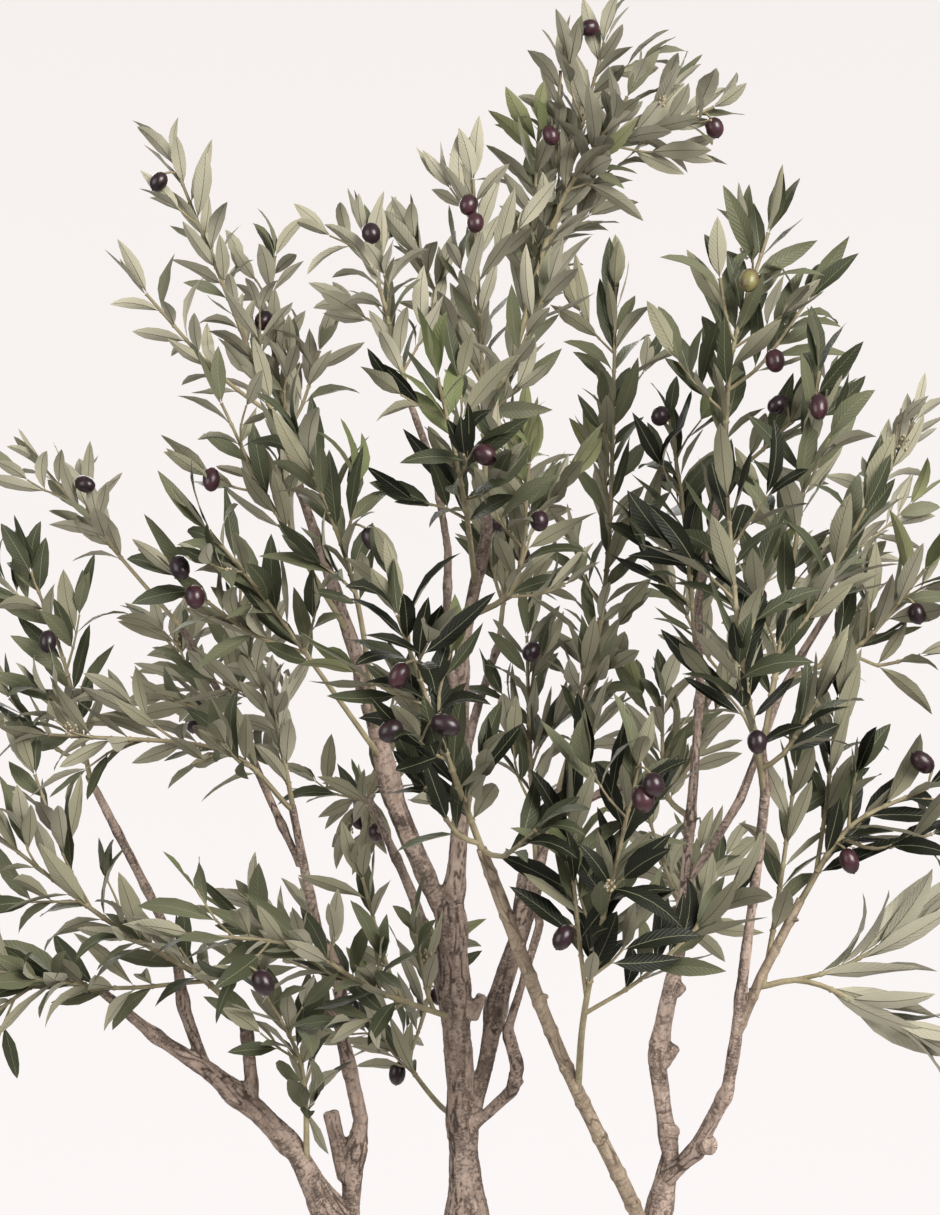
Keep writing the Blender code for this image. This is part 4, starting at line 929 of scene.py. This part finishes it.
def isFree(shape, middle):
    x, y, z = cellOf(middle)
    cells = [(a, b, c) for a in (x - 1, x, x + 1) for b in (y - 1, y, y + 1) for c in (z - 1, z, z + 1)]
    if any(shape.overlap(solid) for solid in limbSolids):
        return False
    return not any(shape.overlap(other) for cell in cells for other in leafCells.get(cell, ()))


def keepShape(shape, middle):
    leafCells.setdefault(cellOf(middle), []).append(shape)


def keepClearBefore(centre):
    # no leaf may stand close before a fruit
    half, far = oliveSettings["width"] * 0.42, foliage["clearBefore"]
    corners = [
        centre + Vector((x * half, y, z * half))
        for y in (-0.002, -far / 2, -far) for x in (-1, 1) for z in (-1, 1)]
    faces = [(0, 1, 3, 2), (8, 9, 11, 10)]
    faces += [
        (a + low, b + low, b + low + 4, a + low + 4)
        for a, b in ((0, 1), (1, 3), (3, 2), (2, 0)) for low in (0, 4)]
    shape = BVHTree.FromPolygons(corners, faces)
    keepShape(shape, centre)
    keepShape(shape, centre - Vector((0, far * 0.7, 0)))


def oliveHangs(name):
    # where the spray's olives hang: a place on its nearest twig, then the fruit's middle
    chance = random.Random(name + " olives")
    onTwigs = [placeAt(path, step / 30)[0] for path, _ in twigsOf[name] for step in range(31)]
    wanted = [Vector(place) for place in masses[name]["olives"]]
    if masses[name]["kind"] == "back":
        for _ in range(oliveSettings["backCount"]):
            drop = Vector((chance.uniform(-1, 1), chance.uniform(-0.2, 1), -1.2)).normalized()
            wanted.append(chance.choice(onTwigs) + drop * oliveSettings["reach"])
    hangs = []
    for centre in wanted:
        root = min(onTwigs, key=lambda place: (place - centre).length)
        stalk = centre - root
        far = min(max(stalk.length, oliveSettings["length"] * 0.75), oliveSettings["reach"])
        stalk = stalk.normalized() * far
        stalk.y -= oliveSettings["forward"]
        hangs.append((root, root + stalk))
    return hangs


def growTwigs(name):
    # the spray's stem, side shoots and twigs as paths, each with the nodes that carry its leaves
    spray = masses[name]
    limb = limbPaths[spray["limb"]]
    bare = spray["bare"]
    root, boughRadius, _ = placeAt(limb, min(spray["share"], 1 - foliage["inset"] / pathLength(limb)))
    stemRadius = min(foliage["stemRadius"], boughRadius * foliage["shareOfBough"])
    bends = [root, *(Vector(bend) for bend in spray["bends"])]
    bends[-1] += (bends[-1] - bends[-2]).normalized() * foliage["onwards"]
    stem = taperedPath(bends, stemRadius, foliage["stemTip"], foliage["spacing"])
    count = round(spray["twigs"] * foliage["finer"])
    twigs = twigPaths(stem, spray["shoots"], bare, count, random.Random(name))
    gap = sprayKinds[spray["kind"]]["gap"]
    return [(stem, leafNodes(stem, bare, gap)),
        *((path, leafNodes(path, foliage["twigBare"], gap)) for path in twigs)]


def growLeaves(name):
    # tries each leaf in a few places and keeps it where it cuts nothing
    tone, shoots, reach = (masses[name][part] for part in ("kind", "shoots", "reach"))
    chance = random.Random(name + " leaves")
    spine = [bend.xyz for path, _ in twigsOf[name][:1 + len(shoots)] for bend in path]
    front = -1 if tone in ("deep", "mixed", "green") else 1
    leaves = []
    for number, (path, nodes) in enumerate(twigsOf[name]):
        hangs = tone == "hanging" and path[-1].z - path[0].z < 0.1
        kind = "sage" if tone == "hanging" and not hangs else tone
        look = sprayKinds[kind]
        angles = foliage["hangingAngles" if hangs else "leafAngles"]
        young = chance.random() < foliage["youngShare"]
        facing = Vector((chance.uniform(-0.5, 0.5), front, 0)).normalized() * foliage["lightSide"]
        facing += Vector((0, 0, foliage["upwards"]))
        for step, place in enumerate(nodes):
            turn = step * math.pi / 2 + number * 1.3
            upper, under = youngTones if young and place > 0.8 else look["tones"]
            for side in ((0, 1, 2) if place == 1 else (0, 1)):
                if place < 0.97 and chance.random() < foliage["missing"]:
                    continue
                over = -1 if chance.random() < look["over"] else 1
                light = Vector((facing.x, facing.y * over, facing.z))
                for attempt in range(foliage["tries"]):
                    leaf = leafFrame(
                        path, place, turn + side * math.pi, light, look["leaf"], angles, attempt, chance)
                    tip = leaf[0] + leaf[1] * leaf[3]
                    middle = leaf[0] + leaf[1] * leaf[3] * 0.5
                    if min((tip - point).length for point in spine) > reach:
                        continue
                    shape = roughLeaf(*leaf)
                    if isFree(shape, middle):
                        keepShape(shape, middle)
                        tones = (upper[chance.random() < 0.4], under[chance.random() < 0.4])
                        leaves.append((*leaf, *tones))
                        chance.random()  # spare draw: the leaves after this one rely on it
                        break
    return leaves


def leafMesh(name, leaves):
    # every leaf at once: a two-sided blade on six rings, bent, swayed, twisted, folded and waved
    chance = np.random.default_rng(len(leaves))
    count = len(leaves)
    root, along, face = (np.array([leaf[part] for leaf in leaves]) for part in (0, 1, 2))
    length, width = (np.array([leaf[part] for leaf in leaves]) for part in (3, 4))
    side = np.cross(along, face)
    droop = chance.uniform(*leafShape["droop"], count)
    sway = chance.uniform(-1, 1, count) * leafShape["sway"]
    twist = chance.normal(0, leafShape["twist"], count)
    fold = chance.uniform(*leafShape["fold"], count)
    phase = chance.uniform(0, math.tau, count)
    stations = [0.0, *leafShape["along"], 1.0]
    wide = [0.0, *leafShape["wide"], 0.0]
    at = root.copy()
    points = []
    uvs = []
    for number, (t, share) in enumerate(zip(stations, wide)):
        pitch, yaw = droop * t**1.6, sway * t
        forward = along * np.cos(pitch)[:, None] - face * np.sin(pitch)[:, None]
        forward = forward * np.cos(yaw)[:, None] + side * np.sin(yaw)[:, None]
        up = face * np.cos(pitch)[:, None] + along * np.sin(pitch)[:, None]
        right = np.cross(forward, up)
        turn = (twist * t)[:, None]
        right, up = right * np.cos(turn) + up * np.sin(turn), up * np.cos(turn) - right * np.sin(turn)
        if number:
            at = at + forward * ((t - stations[number - 1]) * length)[:, None]
        if number in (0, len(stations) - 1):
            points.append(at)
            uvs.append([(0.5, t)])
            continue
        half = (share * width / 2)[:, None]
        rib = np.minimum(leafShape["rib"] * (1.25 - 0.7 * t), half * 0.45)
        lift = np.sin(fold)[:, None] * half * (1 - 0.3 * t)
        ripple = (leafShape["wave"] * np.sin(phase + t * 9))[:, None] * half
        reach = np.cos(fold)[:, None] * half
        thick = leafShape["thick"] * min(1, 1.6 - t)
        groove = leafShape["ribRise"]
        points += [
            at - right * reach + up * (lift + ripple),
            at - right * rib + up * (thick / 2 - groove * 0.3),
            at + right * rib + up * (thick / 2 - groove * 0.3),
            at + right * reach + up * (lift - ripple),
            at + right * rib * 1.25 - up * (thick / 2 + groove),
            at - right * rib * 1.25 - up * (thick / 2 + groove)]
        uvs.append([(0.5 - share / 2, t), (0.47, t), (0.53, t), (0.5 + share / 2, t), (0.53, t), (0.47, t)])
    rings = len(leafShape["along"])
    perLeaf = 2 + 6 * rings
    cloud = np.stack(points, axis=1).reshape(-1, 3)
    places = np.tile(np.array([pair for ring in uvs for pair in ring]), (count, 1))
    starts = np.arange(count)[:, None, None] * perLeaf
    around = [(corner, (corner + 1) % 6) for corner in range(6)]
    foot = np.array([(0, 1 + b, 1 + a) for a, b in around])
    tip = np.array([(perLeaf - 1, perLeaf - 7 + a, perLeaf - 7 + b) for a, b in around])
    blades = []
    for ring in range(rings - 1):
        for a, b in around:
            low, high = 1 + ring * 6, 7 + ring * 6
            quad = [low + a, low + b, high + b, high + a]
            blades.append(quad[1:] + quad[:1] if a in (2, 5) else quad)  # both sides crease alike
    blades = np.array(blades)
    upper = np.array([toneNames.index(leaf[5]) for leaf in leaves])
    under = np.array([toneNames.index(leaf[6]) for leaf in leaves])
    ribTop = np.full(count, toneNames.index("ribPale"))
    ribUnder = np.full(count, toneNames.index("ribBrown"))
    sector = np.stack([upper, ribTop, upper, under, ribUnder, under], axis=1)
    slots = [sector, sector, np.tile(sector, (1, rings - 1))]
    faces = [(starts + part[None]).reshape(-1, part.shape[1]) for part in (foot, tip, blades)]
    slots = np.concatenate([slot.ravel() for slot in slots])
    made = makeMesh(name, cloud, faces, slots, places, leafFinishes)
    made.data.shade_smooth()
    made.data.set_sharp_from_angle(angle=math.radians(48))
    return made


def tubeMesh(name, paths, sides, finish):
    # every path at once as a closed tube, each point with its place on the straightened path
    points = []
    quads = []
    caps = []
    placed = []
    ring = [(math.cos(math.tau * side / sides), math.sin(math.tau * side / sides)) for side in range(sides)]
    for number, path in enumerate(paths):
        first = len(points)
        centres = [bend.xyz for bend in path]
        far = number * 0.37
        for index, ((along, one, other), bend) in enumerate(zip(framesAlong(centres), path)):
            if index:
                far += (bend.xyz - centres[index - 1]).length
            for x, y in ring:
                points.append(bend.xyz + (one * x + other * y) * bend.w)
                placed.extend((x * bend.w, y * bend.w, far))
        for index in range(len(path) - 1):
            low = first + index * sides
            for side in range(sides):
                after = (side + 1) % sides
                quads.append((low + side, low + after, low + sides + after, low + sides + side))
        top = first + (len(path) - 1) * sides
        caps.append(list(range(first, first + sides))[::-1])
        caps.append(list(range(top, top + sides)))
    made = makeMesh(name, points, [np.array(quads), np.array(caps)], materials=[finish])
    made.data.attributes.new("barkPlace", "FLOAT_VECTOR", "POINT").data.foreach_set("vector", placed)
    made.data.attributes.new("crack", "FLOAT", "POINT")
    made.data.shade_smooth()
    made.data.set_sharp_from_angle(angle=math.radians(60))
    return made


def nodedPath(path, nodes):
    # the same path with a small swelling at each pair of leaves
    total = pathLength(path)
    shares = {0.0, 1.0}
    half, spacing = foliage["nodeHalf"], foliage["spacing"]
    for node in nodes:
        for step in (-half, 0.0, half):
            shares.add(min(1.0, max(0.0, node + step / total)))
    shares.update(step * spacing / total for step in range(1, int(total / spacing)))
    made = []
    for share in sorted(shares):
        place, radius, _ = placeAt(path, share)
        near = min(abs(share - node) for node in nodes) * total
        made.append(Vector((*place, radius * (foliage["nodeSwell"] if near < 0.0005 else 1))))
    return made


def zoneOf(name):
    x, y, _ = masses[name]["bends"][-1]
    return ("front_" if y < 0 else "back_") + ("left" if x < 0 else "right")


twigsOf = {name: growTwigs(name) for name in masses}
olives = [olive for name in masses for olive in oliveHangs(name)]
for _, centre in olives:
    keepClearBefore(centre)
leavesOf = {name: growLeaves(name) for name in masses}
for zone in ("front_left", "front_right", "back_left", "back_right"):
    names = [name for name in masses if zoneOf(name) == zone]
    leaves = [leaf for name in names for leaf in leavesOf[name]]
    stems = [nodedPath(*twig) for name in names for twig in twigsOf[name]]
    leafPiece = leafMesh("leaves_" + zone, leaves)
    twigPiece = tubeMesh("twigs_" + zone, stems, foliage["twigSides"], barkFinishes["twig"])
    for piece in (leafPiece, twigPiece):
        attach(piece, "root")
        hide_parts(*names)
    print("foliage:", zone, len(names), "sprays", len(leaves), "leaves", len(stems), "twigs")


# olives: each on its own stalk from the place on the twig where it hangs

oliveLook = {
    "patches": 55.0, "specks": 700.0, "worn": 160.0, "wornBy": 0.18,
    "grain": (900.0, 2.0), "bump": (0.00015, 0.4), "shader": {"Specular IOR Level": 0.4},
}
oliveFinishes = {
    name: makeMottledFinish(name, {**oliveLook, "dark": dark, "light": light, "rough": rough})
    for name, dark, light, rough in (
        ("oliveBlack", (0.010, 0.006, 0.008), (0.030, 0.013, 0.017), 0.20),
        ("olivePurple", (0.018, 0.008, 0.010), (0.056, 0.020, 0.026), 0.20),
        ("oliveTurning", (0.060, 0.022, 0.024), (0.180, 0.170, 0.060), 0.28))
}


def addRound(shape, centre, axis, length, width, profile, sides, slot):
    # adds a body of revolution about the axis, from its profile of heights and radii
    points, ends, quads, endSlots, quadSlots = shape
    one, other = across(axis, 0), across(axis, math.pi / 2)
    first = len(points)
    points.append(centre + axis * profile[0][0] * length)
    for height, radius in profile[1:-1]:
        for side in range(sides):
            angle = math.tau * side / sides
            spoke = one * math.cos(angle) + other * math.sin(angle)
            points.append(centre + axis * height * length + spoke * radius * width)
    points.append(centre + axis * profile[-1][0] * length)
    last = len(points) - 1
    for side in range(sides):
        after = (side + 1) % sides
        ends.append((first, first + 1 + after, first + 1 + side))
        ends.append((last, last - sides + side, last - sides + after))
        endSlots += [slot, slot]
        for ring in range(len(profile) - 3):
            low = first + 1 + ring * sides
            quads.append((low + side, low + after, low + sides + after, low + sides + side))
            quadSlots.append(slot)


def joinRounds(name, shape, finishes):
    points, ends, quads, endSlots, quadSlots = shape
    made = makeMesh(
        name, points, [np.array(ends), np.array(quads)], np.array(endSlots + quadSlots), materials=finishes)
    made.data.shade_smooth()
    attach(made, "root")


def joinTubes(name, paths, sides, finish):
    made = tubeMesh(name, paths, sides, finish)
    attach(made, "root")


def hangOlives():
    chance = random.Random("olives")
    kinds = [
        number for number, kind in enumerate(oliveFinishes) for _ in range(oliveSettings["tones"][kind])]
    profile, radius = oliveSettings["profile"], oliveSettings["stalk"]
    fruit = ([], [], [], [], [])
    stalks = []
    for root, centre in olives:
        hang = (centre - root).normalized()
        axis = Vector((hang.x * 0.7, hang.y * 0.3, hang.z * 0.7 - 0.55)).normalized()
        length = oliveSettings["length"] * chance.uniform(0.88, 1.1)
        width = oliveSettings["width"] * chance.uniform(0.9, 1.08)
        addRound(fruit, centre, axis, length, width, profile, oliveSettings["sides"], chance.choice(kinds))
        head = centre + axis * profile[1][0] * length
        middle = root.lerp(head, 0.5) + Vector((0, 0, 0.002))
        stalks.append(taperedPath([root, middle, head], radius, radius * 1.5, oliveSettings["spacing"]))
    joinRounds("olives", fruit, list(oliveFinishes.values()))
    joinTubes("olive_stalks", stalks, 6, barkFinishes["twig"])
    print("olives:", len(stalks))


hangOlives()

# flower buds: little tan clusters on a few twigs
budSettings = {
    "count": 16, "perCluster": 13, "size": 0.0034, "slimmer": 0.8, "sides": 7, "spread": 0.0065,
    "from": 0.007, "length": 0.017, "axis": 0.021, "stalk": 0.00035, "stalkSides": 4,
    "profile": [(-0.5, 0), (-0.36, 0.34), (-0.05, 0.5), (0.28, 0.4), (0.45, 0.18), (0.5, 0)],
}
budLook = {
    "light": (0.48, 0.41, 0.27), "dark": (0.30, 0.24, 0.14), "patches": 300.0, "specks": 900.0,
    "grain": (1400.0, 2.0), "bump": (0.0002, 0.5), "shader": {"Roughness": 0.7},
}


def setBuds():
    chance = random.Random("buds")
    size, radius, perCluster = (budSettings[key] for key in ("size", "stalk", "perCluster"))
    carrying = chance.sample(
        [name for name in masses if masses[name]["kind"] != "hanging"], budSettings["count"])
    buds = ([], [], [], [], [])
    stalks = []
    for name in carrying:
        path, nodes = chance.choice(twigsOf[name])
        root, _, along = placeAt(path, nodes[min(2, len(nodes) - 1)])
        lean = across(along, chance.uniform(0, math.tau)) * 0.8 + Vector((0, -0.4, 0.2))
        lean = (along + lean).normalized()
        for number in range(perCluster):
            side = across(lean, number * goldenAngle) * budSettings["spread"] * chance.uniform(0.2, 1)
            far = budSettings["from"] + budSettings["length"] * number / perCluster
            centre = root + lean * far + side
            addRound(buds, centre, lean, size, size * budSettings["slimmer"],
                budSettings["profile"], budSettings["sides"], 0)
            foot = root + lean * far * 0.6
            stalks.append([Vector((*foot, radius)), Vector((*centre, radius))])
        tip = root + lean * budSettings["axis"]
        stalks.append([Vector((*root, radius * 1.6)), Vector((*tip, radius))])
    joinRounds("flower_buds", buds, [makeMottledFinish("bud", budLook)])
    joinTubes("bud_stalks", stalks, budSettings["stalkSides"], barkFinishes["twig"])
    print("buds:", len(carrying), "clusters")


setBuds()


# turned pieces: a ring drawn up through an outline of radius and level

def addDisc(name, radius, level, sides):
    deselectAll()
    bpy.ops.mesh.primitive_circle_add(
        vertices=sides, radius=radius, fill_type="NGON", location=(0, 0, level))
    made = bpy.context.object
    made.name = made.data.name = name
    return made


def drawUp(name, outline, sides):
    radius, level = outline[0]
    made = addDisc(name, radius, level, sides)
    pickOnly(made)
    bpy.ops.object.transform_apply(location=True, rotation=True, scale=True)
    bpy.ops.object.mode_set(mode="EDIT")
    bpy.ops.mesh.select_all(action="SELECT")
    for nextRadius, nextLevel in outline[1:]:
        bpy.ops.mesh.extrude_region_move(TRANSFORM_OT_translate={"value": (0, 0, nextLevel - level)})
        grow = nextRadius / radius
        bpy.ops.transform.resize(value=(grow, grow, 1), center_override=(0, 0, nextLevel))
        radius, level = nextRadius, nextLevel
    closeMesh()
    return made


def closeMesh():
    bpy.ops.mesh.select_all(action="SELECT")
    bpy.ops.mesh.normals_make_consistent(inside=False)
    bpy.ops.object.mode_set(mode="OBJECT")


def smoothByAngle(obj, angle):
    pickOnly(obj)
    bpy.ops.object.shade_smooth_by_angle(angle=math.radians(angle))


# socket collar: the dark plastic sleeve on the cut bough that a spray plugs into
collarSettings = {
    "radius": 0.0064, "length": 0.027, "lip": 0.0008, "lipHeight": 0.0024, "lipTop": 0.0006,
    "hole": 0.0039, "holeDepth": 0.004, "edge": 0.0003, "sides": 32,
}


def makePlastic():
    material, tree, shader = newMaterial("collarPlastic", {"Base Color": (0.018, 0.017, 0.016)})
    place = addPlace(tree)
    scuffs = addNoise(tree, place, 420.0, 3.0)
    feed(tree, shader.inputs["Roughness"], addMaths(tree, "MULTIPLY_ADD", scuffs, 0.3, 0.3))
    addBump(tree, shader, addNoise(tree, place, 1500.0, 2.0), 0.0002, 0.4)
    return material


def modelCollar():
    top, _, along = placeAt(limbPaths["socket_stub"], 1)
    radius, hole, lipTop = (collarSettings[key] for key in ("radius", "hole", "lipTop"))
    lip = radius + collarSettings["lip"]
    foot, lipFoot = -collarSettings["length"], -collarSettings["lipHeight"]
    collar = drawUp("socket_collar", [
        (radius * 0.96, foot), (radius, foot + 0.001), (radius, lipFoot), (lip, lipFoot + 0.0005),
        (lip, lipTop), (hole, lipTop), (hole * 0.95, -collarSettings["holeDepth"])],
        collarSettings["sides"])
    applyModifier(collar, "BEVEL", width=collarSettings["edge"], segments=2, limit_method="ANGLE",
        angle_limit=math.radians(30))
    collar.rotation_mode = "QUATERNION"
    collar.rotation_quaternion = Vector((0, 0, 1)).rotation_difference(along)
    collar.location = top
    pickOnly(collar)
    bpy.ops.object.transform_apply(location=True, rotation=True, scale=True)
    smoothByAngle(collar, 40)
    collar.data.materials.append(makePlastic())
    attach(collar, "root")
    print("collar:", len(collar.data.polygons), "faces")


modelCollar()


# planter: drawn up from its base, over the banded rim and down inside, then its edges rounded

pot = {
    "height": 0.270, "topRadius": 0.150, "baseRadius": 0.112, "wall": 0.010, "floor": 0.014,
    "rimHeight": 0.032, "rimStep": 0.005, "rimSlope": 0.003, "edge": 0.0035, "segments": 96,
}
glazeLook = {"patches": 14.0, "specks": 420.0, "light": (0.56, 0.53, 0.48), "dark": (0.44, 0.41, 0.365)}


def makeGlaze():
    material, tree, shader = newMaterial("stoneware", {"Specular IOR Level": 0.4})
    place = addPlace(tree)
    cloudy = addMottle(tree, place, glazeLook)
    dots = addNode(tree, "TexVoronoi", {"Vector": place, "Scale": 190.0}).outputs["Distance"]
    spot = addRange(tree, dots, 0.10, 0.16, 0.75, 0.0)
    feed(tree, shader.inputs["Base Color"], addMix(tree, spot, cloudy["Color"], (0.20, 0.175, 0.15)))
    thrown = addNoise(tree, addMapping(tree, place, (1.0, 1.0, 60.0)), 3.0, 2.0)
    grain = addMaths(tree, "MULTIPLY", addNoise(tree, place, 700.0, 3.0), 0.5)
    addBump(tree, shader, addMaths(tree, "MULTIPLY_ADD", thrown, 1.6, grain), 0.0009, 0.6)
    rough = addMaths(tree, "MULTIPLY_ADD", cloudy["Mask"], 0.15, 0.55)
    feed(tree, shader.inputs["Roughness"], rough)
    return material


def insideRadius(height):
    share = height / pot["height"]
    return pot["baseRadius"] + (pot["topRadius"] - pot["baseRadius"]) * share - pot["wall"]


def modelPlanter():
    rimFoot = pot["height"] - pot["rimHeight"]
    base, rim = pot["baseRadius"], pot["topRadius"] + pot["rimStep"]
    side = insideRadius(rimFoot) + pot["wall"]
    planter = drawUp("planter_stoneware", [
        (base, 0), (base + (side - base) * 0.5, rimFoot * 0.5), (side, rimFoot),
        (rim, rimFoot + pot["rimSlope"]), (rim, pot["height"]),
        (insideRadius(pot["height"]), pot["height"]), (insideRadius(pot["floor"]), pot["floor"])],
        pot["segments"])
    applyModifier(planter, "BEVEL", width=pot["edge"], segments=4, limit_method="ANGLE",
        angle_limit=math.radians(25))
    smoothByAngle(planter, 40)
    planter.data.materials.append(makeGlaze())
    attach(planter, "root")
    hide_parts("planter")
    print("planter:", len(planter.data.polygons), "faces")


modelPlanter()

# fill: a cushion of moss inside the pot, and loose curls of it on top
mossSettings = {
    "rise": 0.011, "level": 0.246, "clear": 0.0006, "lift": 0.0004, "below": 0.004, "rings": 34,
    "curls": 2600, "curlLength": (0.008, 0.022), "curlRadius": 0.00045, "curlSteps": 5, "curlSides": 3,
    "curlsFrom": 0.040, "curlsStop": 0.006,
}
mossLook = {
    "patches": 70.0, "specks": 620.0, "wornBy": 0.1, "grain": (520.0, 4.0, 0.7), "bump": (0.0022, 0.9),
    "shader": {"Sheen Weight": 0.2}, "light": (0.125, 0.125, 0.048), "dark": (0.040, 0.042, 0.018),
    "rough": 0.85,
}
curlLook = {**mossLook, "light": (0.21, 0.20, 0.085), "dark": (0.075, 0.078, 0.030), "rough": 0.8}


def mossLevel(x, y):
    out = min(1, math.hypot(x, y) / insideRadius(mossSettings["level"]))
    clumps = noise.noise(Vector((x / 0.022, y / 0.022, 1.0))) * 0.5
    clumps += noise.noise(Vector((x / 0.008, y / 0.008, 4.0))) * 0.22
    swell = (1 - out ** 3) * 0.8 + clumps * (1 - 0.5 * out)
    return mossSettings["level"] - 0.003 + swell * mossSettings["rise"]


def modelMoss(edge):
    foot = insideRadius(pot["floor"]) - mossSettings["clear"]
    moss = addDisc("moss_top", foot, pot["floor"] + mossSettings["lift"], pot["segments"])
    top = mossSettings["level"] - mossSettings["below"]
    bpy.ops.object.mode_set(mode="EDIT")
    bpy.ops.mesh.extrude_region_move(TRANSFORM_OT_translate={"value": (0, 0, top - pot["floor"])})
    bpy.ops.transform.resize(value=(edge / foot, edge / foot, 1), center_override=(0, 0, top))
    for _ in range(mossSettings["rings"]):
        bpy.ops.mesh.inset(thickness=edge / (mossSettings["rings"] + 2))
    bpy.ops.mesh.poke()
    closeMesh()
    for vertex in moss.data.vertices:
        if vertex.co.z > mossSettings["level"] - 0.02:
            vertex.co.z = mossLevel(vertex.co.x, vertex.co.y)
    smoothByAngle(moss, 60)
    moss.data.materials.append(makeMottledFinish("moss", mossLook))
    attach(moss, "root")
    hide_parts("fill")
    print("moss:", len(moss.data.polygons), "faces")


def scatterCurls(edge):
    chance = random.Random("moss")
    count = mossSettings["curlSteps"]
    curls = []
    while len(curls) < mossSettings["curls"]:
        far, turn = edge * math.sqrt(chance.random()), chance.uniform(0, math.tau)
        x, y = far * math.cos(turn), far * math.sin(turn)
        if far > edge - mossSettings["curlsStop"] or far < mossSettings["curlsFrom"]:
            continue
        length = chance.uniform(*mossSettings["curlLength"])
        head = chance.uniform(0, math.tau)
        rise = chance.uniform(0.1, 0.75)
        bends = []
        point = Vector((x, y, mossLevel(x, y) - 0.001))
        for step in range(count):
            bends.append(Vector((*point, mossSettings["curlRadius"] * (1.1 - 0.2 * step))))
            flat = math.cos(rise)
            way = Vector((math.cos(head) * flat, math.sin(head) * flat, math.sin(rise)))
            point = point + way * length / (count - 1)
            head += chance.uniform(-0.9, 0.9)
            rise -= chance.uniform(0.0, 0.5)
        if math.hypot(point.x, point.y) < edge:
            curls.append(bends)
    finish = makeMottledFinish("mossCurl", curlLook)
    joinTubes("moss_curls", curls, mossSettings["curlSides"], finish)
    print("moss:", len(curls), "curls")


mossEdge = insideRadius(mossSettings["level"]) - mossSettings["clear"]
modelMoss(mossEdge)
scatterCurls(mossEdge)

# floor: a wide pale sheet, part of the studio, that fades out at its edge
floorSettings = {"radius": 2.6, "fadesFrom": 0.6, "level": -0.0006, "sides": 64}


def layFloor():
    floor = addDisc("floor", floorSettings["radius"], floorSettings["level"], floorSettings["sides"])
    material, tree, shader = newMaterial("floor", {"Base Color": (0.74, 0.715, 0.70), "Roughness": 0.9})
    far = addNode(tree, "VectorMath", {0: addPlace(tree)}, operation="LENGTH").outputs["Value"]
    fade = addRange(tree, far, floorSettings["fadesFrom"], floorSettings["radius"], 1.0, 0.0,
        interpolation_type="SMOOTHSTEP")
    feed(tree, shader.inputs["Alpha"], fade)
    floor.data.materials.append(material)


layFloor()
